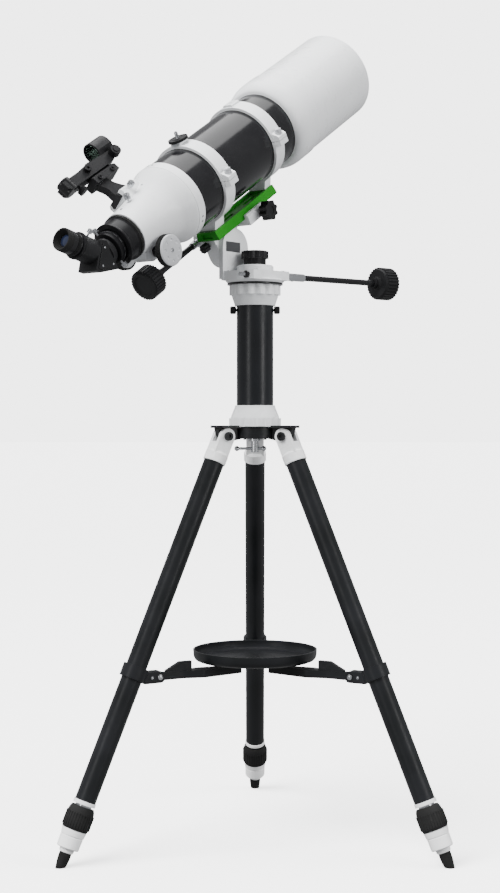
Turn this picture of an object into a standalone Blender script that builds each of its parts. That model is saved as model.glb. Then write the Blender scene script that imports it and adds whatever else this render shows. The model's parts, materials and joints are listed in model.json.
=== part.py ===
"""Refractor telescope on an alt-azimuth mount, an extension pillar and a folding tripod.

Units are metres, +Z is up and the floor is z = 0.  Four local frames are used:
  tripod frame   origin under the pillar's axis, one leg straight behind (+Y)
  azimuth frame  X sideways (w), Y the level heading of the tube (h), Z up
  worm frame     like the azimuth frame, turned so that Y runs along the azimuth worm
  tube frame     X sideways (w), Y along the optical axis (u), Z the tube's own up (n)
"""
import math

import bmesh
import bpy
from mathutils import Matrix, Vector

MM = 0.001
GAP = 0.0003

# ---- driving dimensions, in millimetres unless a name says otherwise -------------------------
AXIS_X, AXIS_Y = 0.0, -22.5            # the pillar's axis, so that the whole box is centred
HEADING_DEG = 38.87                    # the tube's heading, from +Y towards +X
ELEVATION_DEG = 32.0                   # the tube's elevation
WORM_HEADING_DEG = 51.3                # the azimuth worm's heading

LEG_COUNT = 3
LEG_ANGLES_DEG = (90.0, 210.0, 330.0)
HINGE_R, HINGE_Z = 57.0, 642.0         # where the legs pivot
FOOT_R = 336.0                         # where the feet stand
LEG_TUBE_R, LEG_BORE_R = 16.2, 13.2
INNER_LEG_R = 12.4
LEG_TUBE_END = 603.0                   # along the leg, from its hinge
LOCK_START, LOCK_END = 606.0, 641.0
SPREADER_R, SPREADER_Z = 173.5, 271.7  # the spreader arm's pivot on the leg's strap
SPREADER_TIP_R = 26.8
TRAY_R, TRAY_BASE_Z, TRAY_RIM_Z = 99.3, 284.0, 302.0

PILLAR_R, PILLAR_BORE_R = 29.3, 26.8
PILLAR_Z0, PILLAR_Z1 = 685.0, 852.0
PILLAR_SCREW_Z = 843.3
RING_Z0, RING_Z1, RING_R = 852.3, 883.0, 41.0
WASHER_R = 44.5
BODY_Z0, BODY_Z1 = 889.5, 904.0
ARM_W0, ARM_W1 = -32.0, -24.0
ARM_H, ARM_HALF = -19.6, 31.5
ALT_Z = 943.0
WORM_SIDE, WORM_Z = 30.0, 896.7

TUBE_H, TUBE_W, TUBE_Z = -28.74, -35.66, 1086.6  # tube frame's origin, in the azimuth frame
TUBE_R, TUBE_BORE_R = 62.5, 60.5
TUBE_BACK, TUBE_FRONT = -170.0, 112.0
SHIELD_R, SHIELD_BORE_R = 75.5, 73.7
SHIELD_BACK, SHIELD_FRONT = 143.0, 335.4
CASTING_FRONT, CASTING_BACK = -156.3, -276.0
BAR_TOP, BAR_BOTTOM = -78.2, -93.2
BAR_BACK, BAR_FRONT = -109.0, 63.0
TUBE_RINGS = (-91.0, 56.5)             # the two tube rings' middles
RING_HALF_WIDTH = 12.5
RING_OUTER_R, RING_INNER_R = 67.5, 62.9
DRAWTUBE_R, DRAWTUBE_BORE_R = 29.9, 26.0
FOCUS_S, FOCUS_B = -248.0, -41.0       # focus shaft's axis, in the tube frame
FOCUS_WHEEL_R = 24.5
LOCK_SCREW_S = -241.0                  # the focus lock screw's place along the tube
DIAGONAL_S = -339.0                    # where the optical axis bends
FINDER_PHI_DEG = -37.0                 # the finder's side of the casting
CABLE_A, CABLE_B = -32.0, -97.0        # altitude control's axis, in the tube frame
HEAD_TOP_Z, HEAD_BASE_Z, HEAD_R = 657.0, 638.0, 36.0

LARGE = 28                             # sides of the tube and what fits it
ROUND = 20                             # sides of a middling round
SMALL = 10                             # sides of a small round
TINY = 8                               # sides of a screw
LEG_SIDES = 12


# ---- frames ----------------------------------------------------------------------------------
def basis(x_axis, y_axis, z_axis, origin):
    matrix = Matrix.Identity(4)
    for column, axis in enumerate((x_axis, y_axis, z_axis)):
        for row in range(3):
            matrix[row][column] = axis[row]
    matrix.translation = Vector(origin)
    return matrix


def heading_frame(heading_deg):
    angle = math.radians(heading_deg)
    forward = Vector((math.sin(angle), math.cos(angle), 0.0))
    side = Vector((math.cos(angle), -math.sin(angle), 0.0))
    return basis(side, forward, (0.0, 0.0, 1.0), (AXIS_X * MM, AXIS_Y * MM, 0.0))


TRIPOD = Matrix.Translation((AXIS_X * MM, AXIS_Y * MM, 0.0))
AZIMUTH = heading_frame(HEADING_DEG)
WORM = heading_frame(WORM_HEADING_DEG)
TUBE = (AZIMUTH @ Matrix.Translation((TUBE_W * MM, TUBE_H * MM, TUBE_Z * MM))
        @ Matrix.Rotation(math.radians(ELEVATION_DEG), 4, "X"))
FINDER = TUBE @ Matrix.Rotation(math.radians(-FINDER_PHI_DEG), 4, "Y").inverted()


def leg_frame(index):
    """Origin on the leg's hinge, X along the hinge, -Z down the leg."""
    angle = math.radians(LEG_ANGLES_DEG[index])
    outward = Vector((math.cos(angle), math.sin(angle), 0.0))
    hinge = Vector((0.0, 0.0, 1.0)).cross(outward)
    foot = outward * FOOT_R
    top = outward * HINGE_R + Vector((0.0, 0.0, HINGE_Z))
    up = (top - foot).normalized()
    return TRIPOD @ basis(hinge, up.cross(hinge), up, top * MM)


# ---- solids, as bmesh in millimetres ---------------------------------------------------------
def turned(profile, axis="Z", at=(0.0, 0.0, 0.0), sides=ROUND, closed=False):
    """Turn (radius, along) points about an axis; a closed profile makes a ring-shaped solid."""
    mesh = bmesh.new()
    rows = []
    for radius, along in profile:
        if radius == 0.0:
            rows.append([mesh.verts.new((0.0, 0.0, along))])
            continue
        row = []
        for step in range(sides):
            angle = 2.0 * math.pi * step / sides
            row.append(mesh.verts.new((radius * math.cos(angle), radius * math.sin(angle), along)))
        rows.append(row)
    pairs = list(zip(rows, rows[1:]))
    if closed:
        pairs.append((rows[-1], rows[0]))
    for first, second in pairs:
        for step in range(sides):
            after = (step + 1) % sides
            corners = [first[step % len(first)], first[after % len(first)],
                       second[after % len(second)], second[step % len(second)]]
            unique = list(dict.fromkeys(corners))
            mesh.faces.new(unique)
    if not closed and len(rows[0]) > 1:
        mesh.faces.new(rows[0])
    if not closed and len(rows[-1]) > 1:
        mesh.faces.new(rows[-1])
    turn = {"Z": Matrix.Identity(4), "X": Matrix.Rotation(math.radians(90.0), 4, "Y"),
            "Y": Matrix.Rotation(math.radians(-90.0), 4, "X")}[axis]
    mesh.transform(Matrix.Translation(at) @ turn)
    bmesh.ops.recalc_face_normals(mesh, faces=mesh.faces)
    return mesh


def rod(radius, start, end, axis="Z", at=(0.0, 0.0, 0.0), sides=SMALL):
    return turned([(radius, start), (radius, end)], axis, at, sides)


def tube(outer, inner, start, end, axis="Z", at=(0.0, 0.0, 0.0), sides=ROUND):
    return turned([(outer, start), (outer, end), (inner, end), (inner, start)], axis, at, sides, True)


def prism(outline, axis, low, high):
    """Extrude an outline: (y, z) points along X, (x, z) along Y or (x, y) along Z."""
    place = {"X": lambda p, t: (t, p[0], p[1]), "Y": lambda p, t: (p[0], t, p[1]),
             "Z": lambda p, t: (p[0], p[1], t)}[axis]
    mesh = bmesh.new()
    bottom = [mesh.verts.new(place(point, low)) for point in outline]
    top = [mesh.verts.new(place(point, high)) for point in outline]
    mesh.faces.new(bottom)
    mesh.faces.new(top)
    for index in range(len(outline)):
        after = (index + 1) % len(outline)
        mesh.faces.new((bottom[index], bottom[after], top[after], top[index]))
    bmesh.ops.recalc_face_normals(mesh, faces=mesh.faces)
    return mesh


def block(x0, x1, y0, y1, z0, z1):
    return prism([(x0, y0), (x1, y0), (x1, y1), (x0, y1)], "Z", z0, z1)


def arc(centre, radius, start_deg, end_deg, steps):
    points = []
    for step in range(steps + 1):
        angle = math.radians(start_deg + (end_deg - start_deg) * step / steps)
        points.append((centre[0] + radius * math.cos(angle), centre[1] + radius * math.sin(angle)))
    return points


def lobed(outer, valley, lobes, steps=2):
    """A round outline with evenly spaced lobes."""
    points = []
    count = lobes * steps
    for step in range(count):
        angle = 2.0 * math.pi * step / count
        radius = valley + (outer - valley) * (0.5 + 0.5 * math.cos(lobes * angle))
        points.append((radius * math.cos(angle), radius * math.sin(angle)))
    return points


def moved(mesh, x=0.0, y=0.0, z=0.0):
    mesh.transform(Matrix.Translation((x, y, z)))
    return mesh


def tilted(mesh, degrees, axis):
    mesh.transform(Matrix.Rotation(math.radians(degrees), 4, axis))
    return mesh


# ---- objects ---------------------------------------------------------------------------------
def clear_scene():
    for item in list(bpy.data.objects):
        bpy.data.objects.remove(item, do_unlink=True)


MATERIALS = {}
FINISHES = {
    "white_paint": ((0.86, 0.87, 0.87), 0.30, 0.0),
    "gloss_black": ((0.012, 0.012, 0.014), 0.12, 0.0),
    "black_anodised": ((0.02, 0.02, 0.022), 0.35, 0.3),
    "black_plastic": ((0.022, 0.022, 0.024), 0.45, 0.0),
    "rubber": ((0.015, 0.015, 0.016), 0.75, 0.0),
    "green_anodised": ((0.03, 0.30, 0.03), 0.35, 0.4),
    "silver": ((0.72, 0.73, 0.75), 0.25, 1.0),
    "satin_black": ((0.016, 0.016, 0.017), 0.40, 0.0),
    "glass": ((0.75, 0.85, 0.90), 0.02, 0.0),
}


def material(name):
    if name not in MATERIALS:
        colour, roughness, metallic = FINISHES[name]
        new = bpy.data.materials.new(name)
        new.use_nodes = True
        shader = new.node_tree.nodes["Principled BSDF"]
        shader.inputs["Base Color"].default_value = (*colour, 1.0)
        shader.inputs["Roughness"].default_value = roughness
        shader.inputs["Metallic"].default_value = metallic
        MATERIALS[name] = new
    return MATERIALS[name]


def as_object(name, solid):
    data = bpy.data.meshes.new(name)
    solid.to_mesh(data)
    solid.free()
    item = bpy.data.objects.new(name, data)
    bpy.context.scene.collection.objects.link(item)
    return item


def combine(base, other, operation):
    """Boolean two solids and keep the result as a solid."""
    first = as_object("first", base)
    second = as_object("second", other)
    modifier = first.modifiers.new("combine", "BOOLEAN")
    modifier.operation = operation
    modifier.solver = "EXACT"
    modifier.object = second
    graph = bpy.context.evaluated_depsgraph_get()
    result = bmesh.new()
    result.from_object(first, graph)
    bpy.data.objects.remove(first, do_unlink=True)
    bpy.data.objects.remove(second, do_unlink=True)
    bmesh.ops.remove_doubles(result, verts=result.verts, dist=0.002)
    return result


def union(base, *others):
    for other in others:
        base = combine(base, other, "UNION")
    return base


def cut(base, *others):
    for other in others:
        base = combine(base, other, "DIFFERENCE")
    return base


def piece(name, solid, finish, frame, origin=(0.0, 0.0, 0.0)):
    """Make the named part: solid in millimetres of its frame, origin a point of its joint's axis."""
    solid.transform(Matrix.Translation(-Vector(origin)))
    solid.transform(Matrix.Scale(MM, 4))
    bmesh.ops.triangulate(solid, faces=[face for face in solid.faces if len(face.verts) > 4])
    item = as_object(name, solid)
    item.data.materials.append(material(finish))
    item.data.shade_smooth()
    item.data.set_sharp_from_angle(angle=math.radians(35.0))
    item.matrix_world = frame @ Matrix.Translation(Vector(origin) * MM)
    return item


# ---- tripod ----------------------------------------------------------------------------------
def tripod_head():
    body = tube(HEAD_R, 6.8, HEAD_BASE_Z, HEAD_TOP_Z - 0.6)
    for angle in LEG_ANGLES_DEG:
        nose = arc((HINGE_R, HINGE_Z), 10.0, -110.0, 0.0, 8)
        tongue = prism([(22.0, HEAD_BASE_Z + 1.0)] + nose + [(71.0, 653.0), (71.0, 656.2), (22.0, 656.2)],
                       "Y", -6.2, 6.2)
        roof = prism([(20.0, -18.0), (70.0, -18.0), (74.0, -12.0), (74.0, 12.0), (70.0, 18.0), (20.0, 18.0)],
                     "Z", HEAD_TOP_Z - 1.9, HEAD_TOP_Z + 2.0)
        bore = rod(4.2, -20.0, 20.0, "Y", (HINGE_R, 0.0, HINGE_Z), SMALL)
        lug = cut(union(tongue, roof), bore)
        body = union(body, tilted(lug, angle, "Z"))
    recess = rod(42.6, HEAD_TOP_Z, HEAD_TOP_Z + 20.0, sides=ROUND)
    piece("tripod_head", cut(body, recess), "satin_black", TRIPOD)


def leg(index):
    number = index + 1
    frame = leg_frame(index)
    shell = turned([(0.0, -30.0), (LEG_TUBE_R, -30.0), (LEG_TUBE_R, -LEG_TUBE_END),
                    (LEG_BORE_R, -LEG_TUBE_END), (LEG_BORE_R, -46.0), (0.0, -46.0)], sides=LEG_SIDES)
    collar = turned([(16.7, -29.0), (18.2, -31.0), (18.2, -43.0), (16.7, -45.0)], sides=LEG_SIDES)
    cheeks = union(rod(12.6, -14.4, 14.4, "X", sides=LEG_SIDES), block(-14.4, 14.4, -12.6, 12.6, -31.0, 0.0))
    slot = union(block(-6.9, 6.9, -20.0, 20.0, -13.5, 20.0), rod(13.5, -6.9, 6.9, "X", sides=LEG_SIDES))
    bore = rod(4.2, -20.0, 20.0, "X", sides=SMALL)
    upper = union(cut(cheeks, slot, bore), collar, shell)
    piece("upper_leg_%d" % number, upper, "satin_black", frame)

    bolt = union(rod(3.9, -15.0, 15.0, "X"), turned([(7.0, -19.0), (7.0, -14.7)], "X", sides=SMALL),
                 turned([(7.0, 14.7), (7.0, 19.0)], "X", sides=SMALL))
    piece("leg_bolt_%d" % number, bolt, "satin_black", frame)

    lock = turned([(17.4, -LOCK_START), (20.6, -LOCK_START - 8.0), (21.8, -LOCK_START - 20.0),
                   (20.4, -LOCK_END), (INNER_LEG_R + 0.9, -LOCK_END), (INNER_LEG_R + 0.9, -LOCK_START)],
                  sides=LEG_SIDES, closed=True)
    piece("twist_lock_%d" % number, lock, "rubber", frame, (0.0, 0.0, -LOCK_START))

    foot_end = -math.hypot(FOOT_R - HINGE_R, HINGE_Z) - 12.0
    inner = turned([(0.0, -300.0), (INNER_LEG_R, -300.0), (INNER_LEG_R, -641.6), (19.2, -642.0),
                    (17.8, -652.0),
                    (17.0, -653.0), (17.0, -670.0), (11.0, -671.0),
                    (9.4, -677.0), (8.6, -690.0), (5.8, foot_end),
                    (0.0, foot_end)], sides=LEG_SIDES)
    inner.transform(Matrix.Scale(MM, 4))
    inner.transform(frame)
    bmesh.ops.bisect_plane(inner, geom=inner.verts[:] + inner.edges[:] + inner.faces[:], dist=1e-7,
                           plane_co=(0.0, 0.0, 0.0), plane_no=(0.0, 0.0, 1.0), clear_inner=True)
    bmesh.ops.holes_fill(inner, edges=[edge for edge in inner.edges if edge.is_boundary])
    inner.transform(frame.inverted())
    inner.transform(Matrix.Scale(1.0 / MM, 4))
    bmesh.ops.recalc_face_normals(inner, faces=inner.faces)
    piece("lower_leg_%d" % number, inner, "white_paint", frame, (0.0, 0.0, -641.6))


def spreader(index):
    number = index + 1
    frame = leg_frame(index)
    place = TRIPOD @ Matrix.Rotation(math.radians(LEG_ANGLES_DEG[index]), 4, "Z")
    to_leg = frame.inverted() @ place
    distance = (HINGE_Z - 281.0) / math.cos(math.atan2(FOOT_R - HINGE_R, HINGE_Z))
    band = tube(20.2, LEG_TUBE_R + 0.3, -distance - 10.0, -distance + 10.0, sides=LEG_SIDES)
    ear = block(SPREADER_R - 7.0, 200.0, -9.0, 9.0, SPREADER_Z - 9.0, SPREADER_Z + 9.0)
    nose = rod(9.0, -9.0, 9.0, "Y", (SPREADER_R, 0.0, SPREADER_Z), SMALL)
    notch = block(SPREADER_R - 20.0, SPREADER_R + 11.0, -5.4, 5.4, SPREADER_Z - 20.0, SPREADER_Z + 20.0)
    pin_bore = rod(2.8, -20.0, 20.0, "Y", (SPREADER_R, 0.0, SPREADER_Z), TINY)
    ears = cut(union(cut(ear, block(150.0, SPREADER_R, -20.0, 20.0, 200.0, 400.0)), nose), notch, pin_bore)
    ears.transform(Matrix.Scale(MM, 4))
    ears.transform(to_leg)
    ears.transform(Matrix.Scale(1.0 / MM, 4))
    ears = cut(ears, rod(LEG_TUBE_R + 0.3, -distance - 40.0, -distance + 40.0, sides=LEG_SIDES))
    piece("leg_strap_%d" % number, union(band, ears), "satin_black", frame, (0.0, 0.0, -distance))

    blade = prism([(SPREADER_TIP_R, -4.0), (SPREADER_TIP_R + 3.0, -5.0), (100.0, -15.0), (132.0, -5.0),
                   (SPREADER_R, -5.0), (SPREADER_R, 5.0), (132.0, 5.0), (100.0, 15.0),
                   (SPREADER_TIP_R + 3.0, 5.0), (SPREADER_TIP_R, 4.0)],
                  "Z", SPREADER_Z - 6.0, SPREADER_Z + 6.0)
    end = rod(6.0, -5.0, 5.0, "Y", (SPREADER_R, 0.0, SPREADER_Z), SMALL)
    wing = prism([(116.0, SPREADER_Z - 2.0), (116.0, 292.0), (136.0, 292.0), (160.0, 280.0),
                  (160.0, SPREADER_Z - 2.0)], "Y", -3.6, 3.6)
    pin = rod(2.4, -11.5, 11.5, "Y", (SPREADER_R, 0.0, SPREADER_Z), TINY)
    head_a = rod(4.6, -12.0, -9.3, "Y", (SPREADER_R, 0.0, SPREADER_Z), TINY)
    head_b = rod(4.6, 9.3, 12.0, "Y", (SPREADER_R, 0.0, SPREADER_Z), TINY)
    arm = union(blade, end, wing, pin, head_a, head_b)
    piece("spreader_arm_%d" % number, arm, "satin_black", place, (SPREADER_R, 0.0, SPREADER_Z))


def tray():
    dish = turned([(0.0, TRAY_BASE_Z), (TRAY_R - 9.0, TRAY_BASE_Z), (TRAY_R - 2.0, TRAY_BASE_Z + 5.0),
                   (TRAY_R, TRAY_RIM_Z), (TRAY_R - 2.6, TRAY_RIM_Z), (TRAY_R - 5.0, TRAY_BASE_Z + 6.0),
                   (TRAY_R - 11.0, TRAY_BASE_Z + 3.2), (0.0, TRAY_BASE_Z + 3.2)], sides=LARGE)
    boss = rod(4.0, TRAY_BASE_Z - 16.0, TRAY_BASE_Z + 1.0, sides=TINY)
    piece("accessory_tray", union(dish, boss), "satin_black", TRIPOD, (0.0, 0.0, TRAY_BASE_Z))


def pillar_set():
    adapter = turned([(41.5, 657.3), (41.5, 670.0), (38.5, 673.5), (32.4, 688.0), (32.4, 691.0),
                      (PILLAR_R + GAP / MM, 691.0), (PILLAR_R + GAP / MM, 684.7), (5.6, 684.7), (5.6, 657.3)],
                     closed=True)
    piece("lower_adapter", adapter, "white_paint", TRIPOD)

    bolt = turned([(0.0, 616.0), (6.4, 617.0), (6.4, 634.0), (11.0, 634.5), (11.0, 637.7), (5.2, 637.7),
                   (5.2, 682.0), (0.0, 682.0)], sides=SMALL)
    lever = rod(2.2, -28.0, 13.0, "X", (0.0, 0.0, 622.0), TINY)
    ball_a = bmesh.new()
    bmesh.ops.create_uvsphere(ball_a, u_segments=10, v_segments=6, radius=4.2)
    ball_b = ball_a.copy()
    bolt = union(bolt, lever, moved(ball_a, -29.0, 0.0, 622.0), moved(ball_b, 14.0, 0.0, 622.0))
    piece("pillar_bolt", bolt, "silver", TRIPOD, (0.0, 0.0, 622.0))

    shaft = cut(tube(PILLAR_R, PILLAR_BORE_R, PILLAR_Z0, PILLAR_Z1),
                rod(2.4, -40.0, 40.0, "X", (0.0, 0.0, PILLAR_SCREW_Z), TINY))
    piece("pillar", shaft, "satin_black", TRIPOD)

    ring = prism(lobed(RING_R, RING_R - 1.6, 16), "Z", 866.0, RING_Z1)
    cone = turned([(27.0, 850.0), (32.4, 850.0), (32.4, RING_Z0), (38.5, 867.0), (27.0, 867.0)])
    cone = cut(cone, rod(PILLAR_R + GAP / MM, 840.0, PILLAR_Z1 + GAP / MM, sides=ROUND))
    ring = cut(union(ring, cone), rod(10.0, 840.0, 900.0))
    piece("clamp_ring", ring, "white_paint", TRIPOD)

    for number, side in ((1, -1.0), (2, 1.0)):
        screw = union(rod(2.1, 25.5, 34.0, "X", (0.0, 0.0, PILLAR_SCREW_Z), TINY),
                      moved(tilted(prism(lobed(6.3, 5.6, 8), "Z", 30.2, 40.0), 90.0, "Y"),
                            0.0, 0.0, PILLAR_SCREW_Z))
        if side < 0.0:
            screw = tilted(screw, 180.0, "Z")
        piece("pillar_thumbscrew_%d" % number, screw, "black_plastic", TRIPOD,
              (side * 36.0, 0.0, PILLAR_SCREW_Z))


# ---- azimuth part ----------------------------------------------------------------------------
def azimuth_part():
    washer = tube(WASHER_R, 11.0, RING_Z1 + 0.3, BODY_Z0 - 3.6)
    piece("azimuth_washer", washer, "black_plastic", TRIPOD)

    turn = math.radians(WORM_HEADING_DEG - HEADING_DEG)

    def from_worm(side, along):
        return (side * math.cos(turn) + along * math.sin(turn), along * math.cos(turn) - side * math.sin(turn))

    outline = [from_worm(side, along) for side, along in
               ((42.0, -36.0), (42.0, 36.0), (-18.0, 36.0), (-38.0, 10.0), (-18.0, -54.0))]
    deck = prism(outline, "Z", BODY_Z0, BODY_Z1)
    skirt = turned([(44.0, BODY_Z0 - 3.3), (47.0, BODY_Z0 + 0.5), (30.0, BODY_Z0 + 4.0),
                    (30.0, BODY_Z0 - 3.3)],
                   closed=True)
    core = rod(36.0, BODY_Z0 - 3.3, BODY_Z0 + 4.0)
    flange = turned([(29.6, BODY_Z1 - 2.0), (29.6, 912.5), (27.5, 914.5), (20.0, 914.5),
                     (20.0, BODY_Z1 - 2.0)])
    head = arc((ARM_H, ALT_Z), ARM_HALF, 0.0, 180.0, 20)
    foot = [(ARM_H - ARM_HALF, BODY_Z0 + 2.0), (ARM_H + ARM_HALF, BODY_Z0 + 2.0)]
    arm = prism(head + foot, "X", ARM_W0, ARM_W1)
    web = prism([(-4.0, BODY_Z1 - 3.0), (12.0, BODY_Z1 - 3.0), (12.0, BODY_Z1 + 6.0), (-4.0, BODY_Z1 + 16.0)],
                "X", ARM_W0 + 1.0, ARM_W1 + 1.8)
    body = union(deck, skirt, core, flange, arm, web)
    axis_bore = rod(4.6, 870.0, 930.0)
    alt_bore = rod(8.3, ARM_W0 - 5.0, ARM_W1 - 2.5, "X", (0.0, ARM_H, ALT_Z), 20)
    worm_bore = tilted(rod(4.8, -100.0, 100.0, "Y", (WORM_SIDE, 0.0, WORM_Z), SMALL),
                       HEADING_DEG - WORM_HEADING_DEG, "Z")
    piece("azimuth_body", cut(body, axis_bore, alt_bore, worm_bore), "white_paint", AZIMUTH)

    knob = union(rod(4.2, 884.0, 918.0), rod(17.6, 914.8, 926.0, sides=24),
                 prism(lobed(21.6, 20.6, 20), "Z", 925.0, 938.0))
    piece("azimuth_clamp_knob", knob, "black_plastic", TRIPOD, (0.0, 0.0, 925.0))

    control = union(rod(4.4, -36.0, 40.0, "Y", (WORM_SIDE, 0.0, WORM_Z)),
                    rod(3.0, -56.0, -32.0, "Y", (WORM_SIDE, 0.0, WORM_Z)),
                    rod(5.6, -43.9, -41.3, "Y", (WORM_SIDE, 0.0, WORM_Z)),
                    rod(6.2, 36.3, 76.0, "Y", (WORM_SIDE, 0.0, WORM_Z)),
                    rod(4.8, 70.0, 232.0, "Y", (WORM_SIDE, 0.0, WORM_Z)),
                    rod(9.0, 226.0, 244.0, "Y", (WORM_SIDE, 0.0, WORM_Z)),
                    moved(tilted(prism(lobed(27.2, 25.8, 18), "Z", 243.0, 268.0), -90.0, "X"),
                          WORM_SIDE, 0.0, WORM_Z))
    piece("azimuth_control", control, "black_plastic", WORM, (WORM_SIDE, 0.0, WORM_Z))


# ---- altitude part: saddle, bar and rings ----------------------------------------------------
ALT_S = -math.sin(math.radians(ELEVATION_DEG)) * (TUBE_Z - ALT_Z) + \
    math.cos(math.radians(ELEVATION_DEG)) * (ARM_H - TUBE_H)
ALT_B = -math.cos(math.radians(ELEVATION_DEG)) * (TUBE_Z - ALT_Z) - \
    math.sin(math.radians(ELEVATION_DEG)) * (ARM_H - TUBE_H)
ARM_FRONT_A = ARM_W1 - TUBE_W
ARM_BACK_A = ARM_W0 - TUBE_W


def saddle():
    top = BAR_BOTTOM - 0.3
    low = top - 11.0
    hub = rod(30.0, -22.0, ARM_BACK_A - 0.4, "X", (0.0, ALT_S, ALT_B), 32)
    riser = block(-22.0, ARM_BACK_A - 0.4, ALT_S - 30.0, ALT_S + 30.0, ALT_B, top)
    plate = block(-30.0, 30.0, ALT_S + 33.5, 14.0, low, top)
    back_plate = block(-30.0, ARM_BACK_A - 0.4, ALT_S - 32.0, ALT_S + 36.0, low, top)
    left_jaw = block(-30.0, -22.6, ALT_S - 32.0, 14.0, low, BAR_BOTTOM + 7.0)
    right_jaw = block(22.6, 30.0, ALT_S + 33.5, 14.0, low, BAR_BOTTOM + 7.0)
    housing = block(-42.0, -24.0, -96.0, -40.0, CABLE_B - 11.0, CABLE_B + 9.0)
    body = union(hub, riser, plate, back_plate, left_jaw, right_jaw, housing)
    body = cut(body, rod(8.2, -16.0, 20.0, "X", (0.0, ALT_S, ALT_B), 20),
               rod(5.0, -120.0, -46.0, "Y", (CABLE_A, 0.0, CABLE_B), SMALL),
               rod(2.6, 15.0, 40.0, "X", (0.0, 2.0, low + 7.0), TINY),
               rod(2.6, -140.0, ALT_S - 22.0, "Y", (-12.0, 0.0, -104.0), TINY))
    piece("altitude_saddle", body, "white_paint", TUBE, (-10.0, ALT_S, ALT_B))

    pivot = rod(8.0, -15.7, ARM_FRONT_A - 3.0, "X", (0.0, ALT_S, ALT_B), 20)
    piece("altitude_pivot", pivot, "silver", TUBE, (-10.0, ALT_S, ALT_B))

    knob = union(rod(2.3, 18.0, 40.0, "X", (0.0, 2.0, low + 7.0), TINY),
                 rod(6.5, 30.3, 37.0, "X", (0.0, 2.0, low + 7.0)),
                 moved(tilted(prism(lobed(16.5, 13.0, 8), "Z", 36.0, 51.0), 90.0, "Y"), 0.0, 2.0, low + 7.0))
    piece("saddle_knob", knob, "black_plastic", TUBE, (40.0, 2.0, low + 7.0))

    tension = union(rod(2.3, -118.0, ALT_S - 23.0, "Y", (-12.0, 0.0, -104.0), TINY),
                    moved(tilted(prism(lobed(7.6, 6.2, 8), "Z", 104.0, 117.0), 90.0, "X"), -12.0, 0.0, -104.0))
    piece("altitude_tension_knob", tension, "black_plastic", TUBE, (-12.0, -110.0, -104.0))

    control = union(rod(4.6, -104.0, -47.0, "Y", (CABLE_A, 0.0, CABLE_B)),
                    rod(6.2, -116.0, -101.2, "Y", (CABLE_A, 0.0, CABLE_B)),
                    rod(5.0, -216.0, -110.0, "Y", (CABLE_A, 0.0, CABLE_B)),
                    rod(9.0, -224.0, -210.0, "Y", (CABLE_A, 0.0, CABLE_B)),
                    moved(tilted(prism(lobed(25.0, 23.6, 18), "Z", 222.0, 250.0), 90.0, "X"),
                          CABLE_A, 0.0, CABLE_B))
    piece("altitude_control", control, "black_plastic", TUBE, (CABLE_A, -222.0, CABLE_B))


def dovetail_bar():
    bar = prism([(-19.0, BAR_TOP), (19.0, BAR_TOP), (22.3, BAR_BOTTOM + 3.0), (22.3, BAR_BOTTOM),
                 (-22.3, BAR_BOTTOM), (-22.3, BAR_BOTTOM + 3.0)], "Y", BAR_BACK, BAR_FRONT)
    groove = block(-14.0, 14.0, BAR_BACK + 8.0, BAR_FRONT - 8.0, BAR_TOP - 2.5, BAR_TOP + 5.0)
    for middle in TUBE_RINGS:
        low = max(middle - 15.0, BAR_BACK - 1.0)
        high = min(middle + 15.0, BAR_FRONT + 1.0)
        groove = cut(groove, block(-30.0, 30.0, low, high, -200.0, 0.0))
    piece("dovetail_bar", cut(bar, groove), "green_anodised", TUBE)


def half_ring(middle, low_deg, high_deg):
    outer = arc((0.0, 0.0), RING_OUTER_R, low_deg, high_deg, 22)
    inner = arc((0.0, 0.0), RING_INNER_R, high_deg, low_deg, 22)
    return prism(outer + inner, "Y", middle - RING_HALF_WIDTH, middle + RING_HALF_WIDTH)


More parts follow.
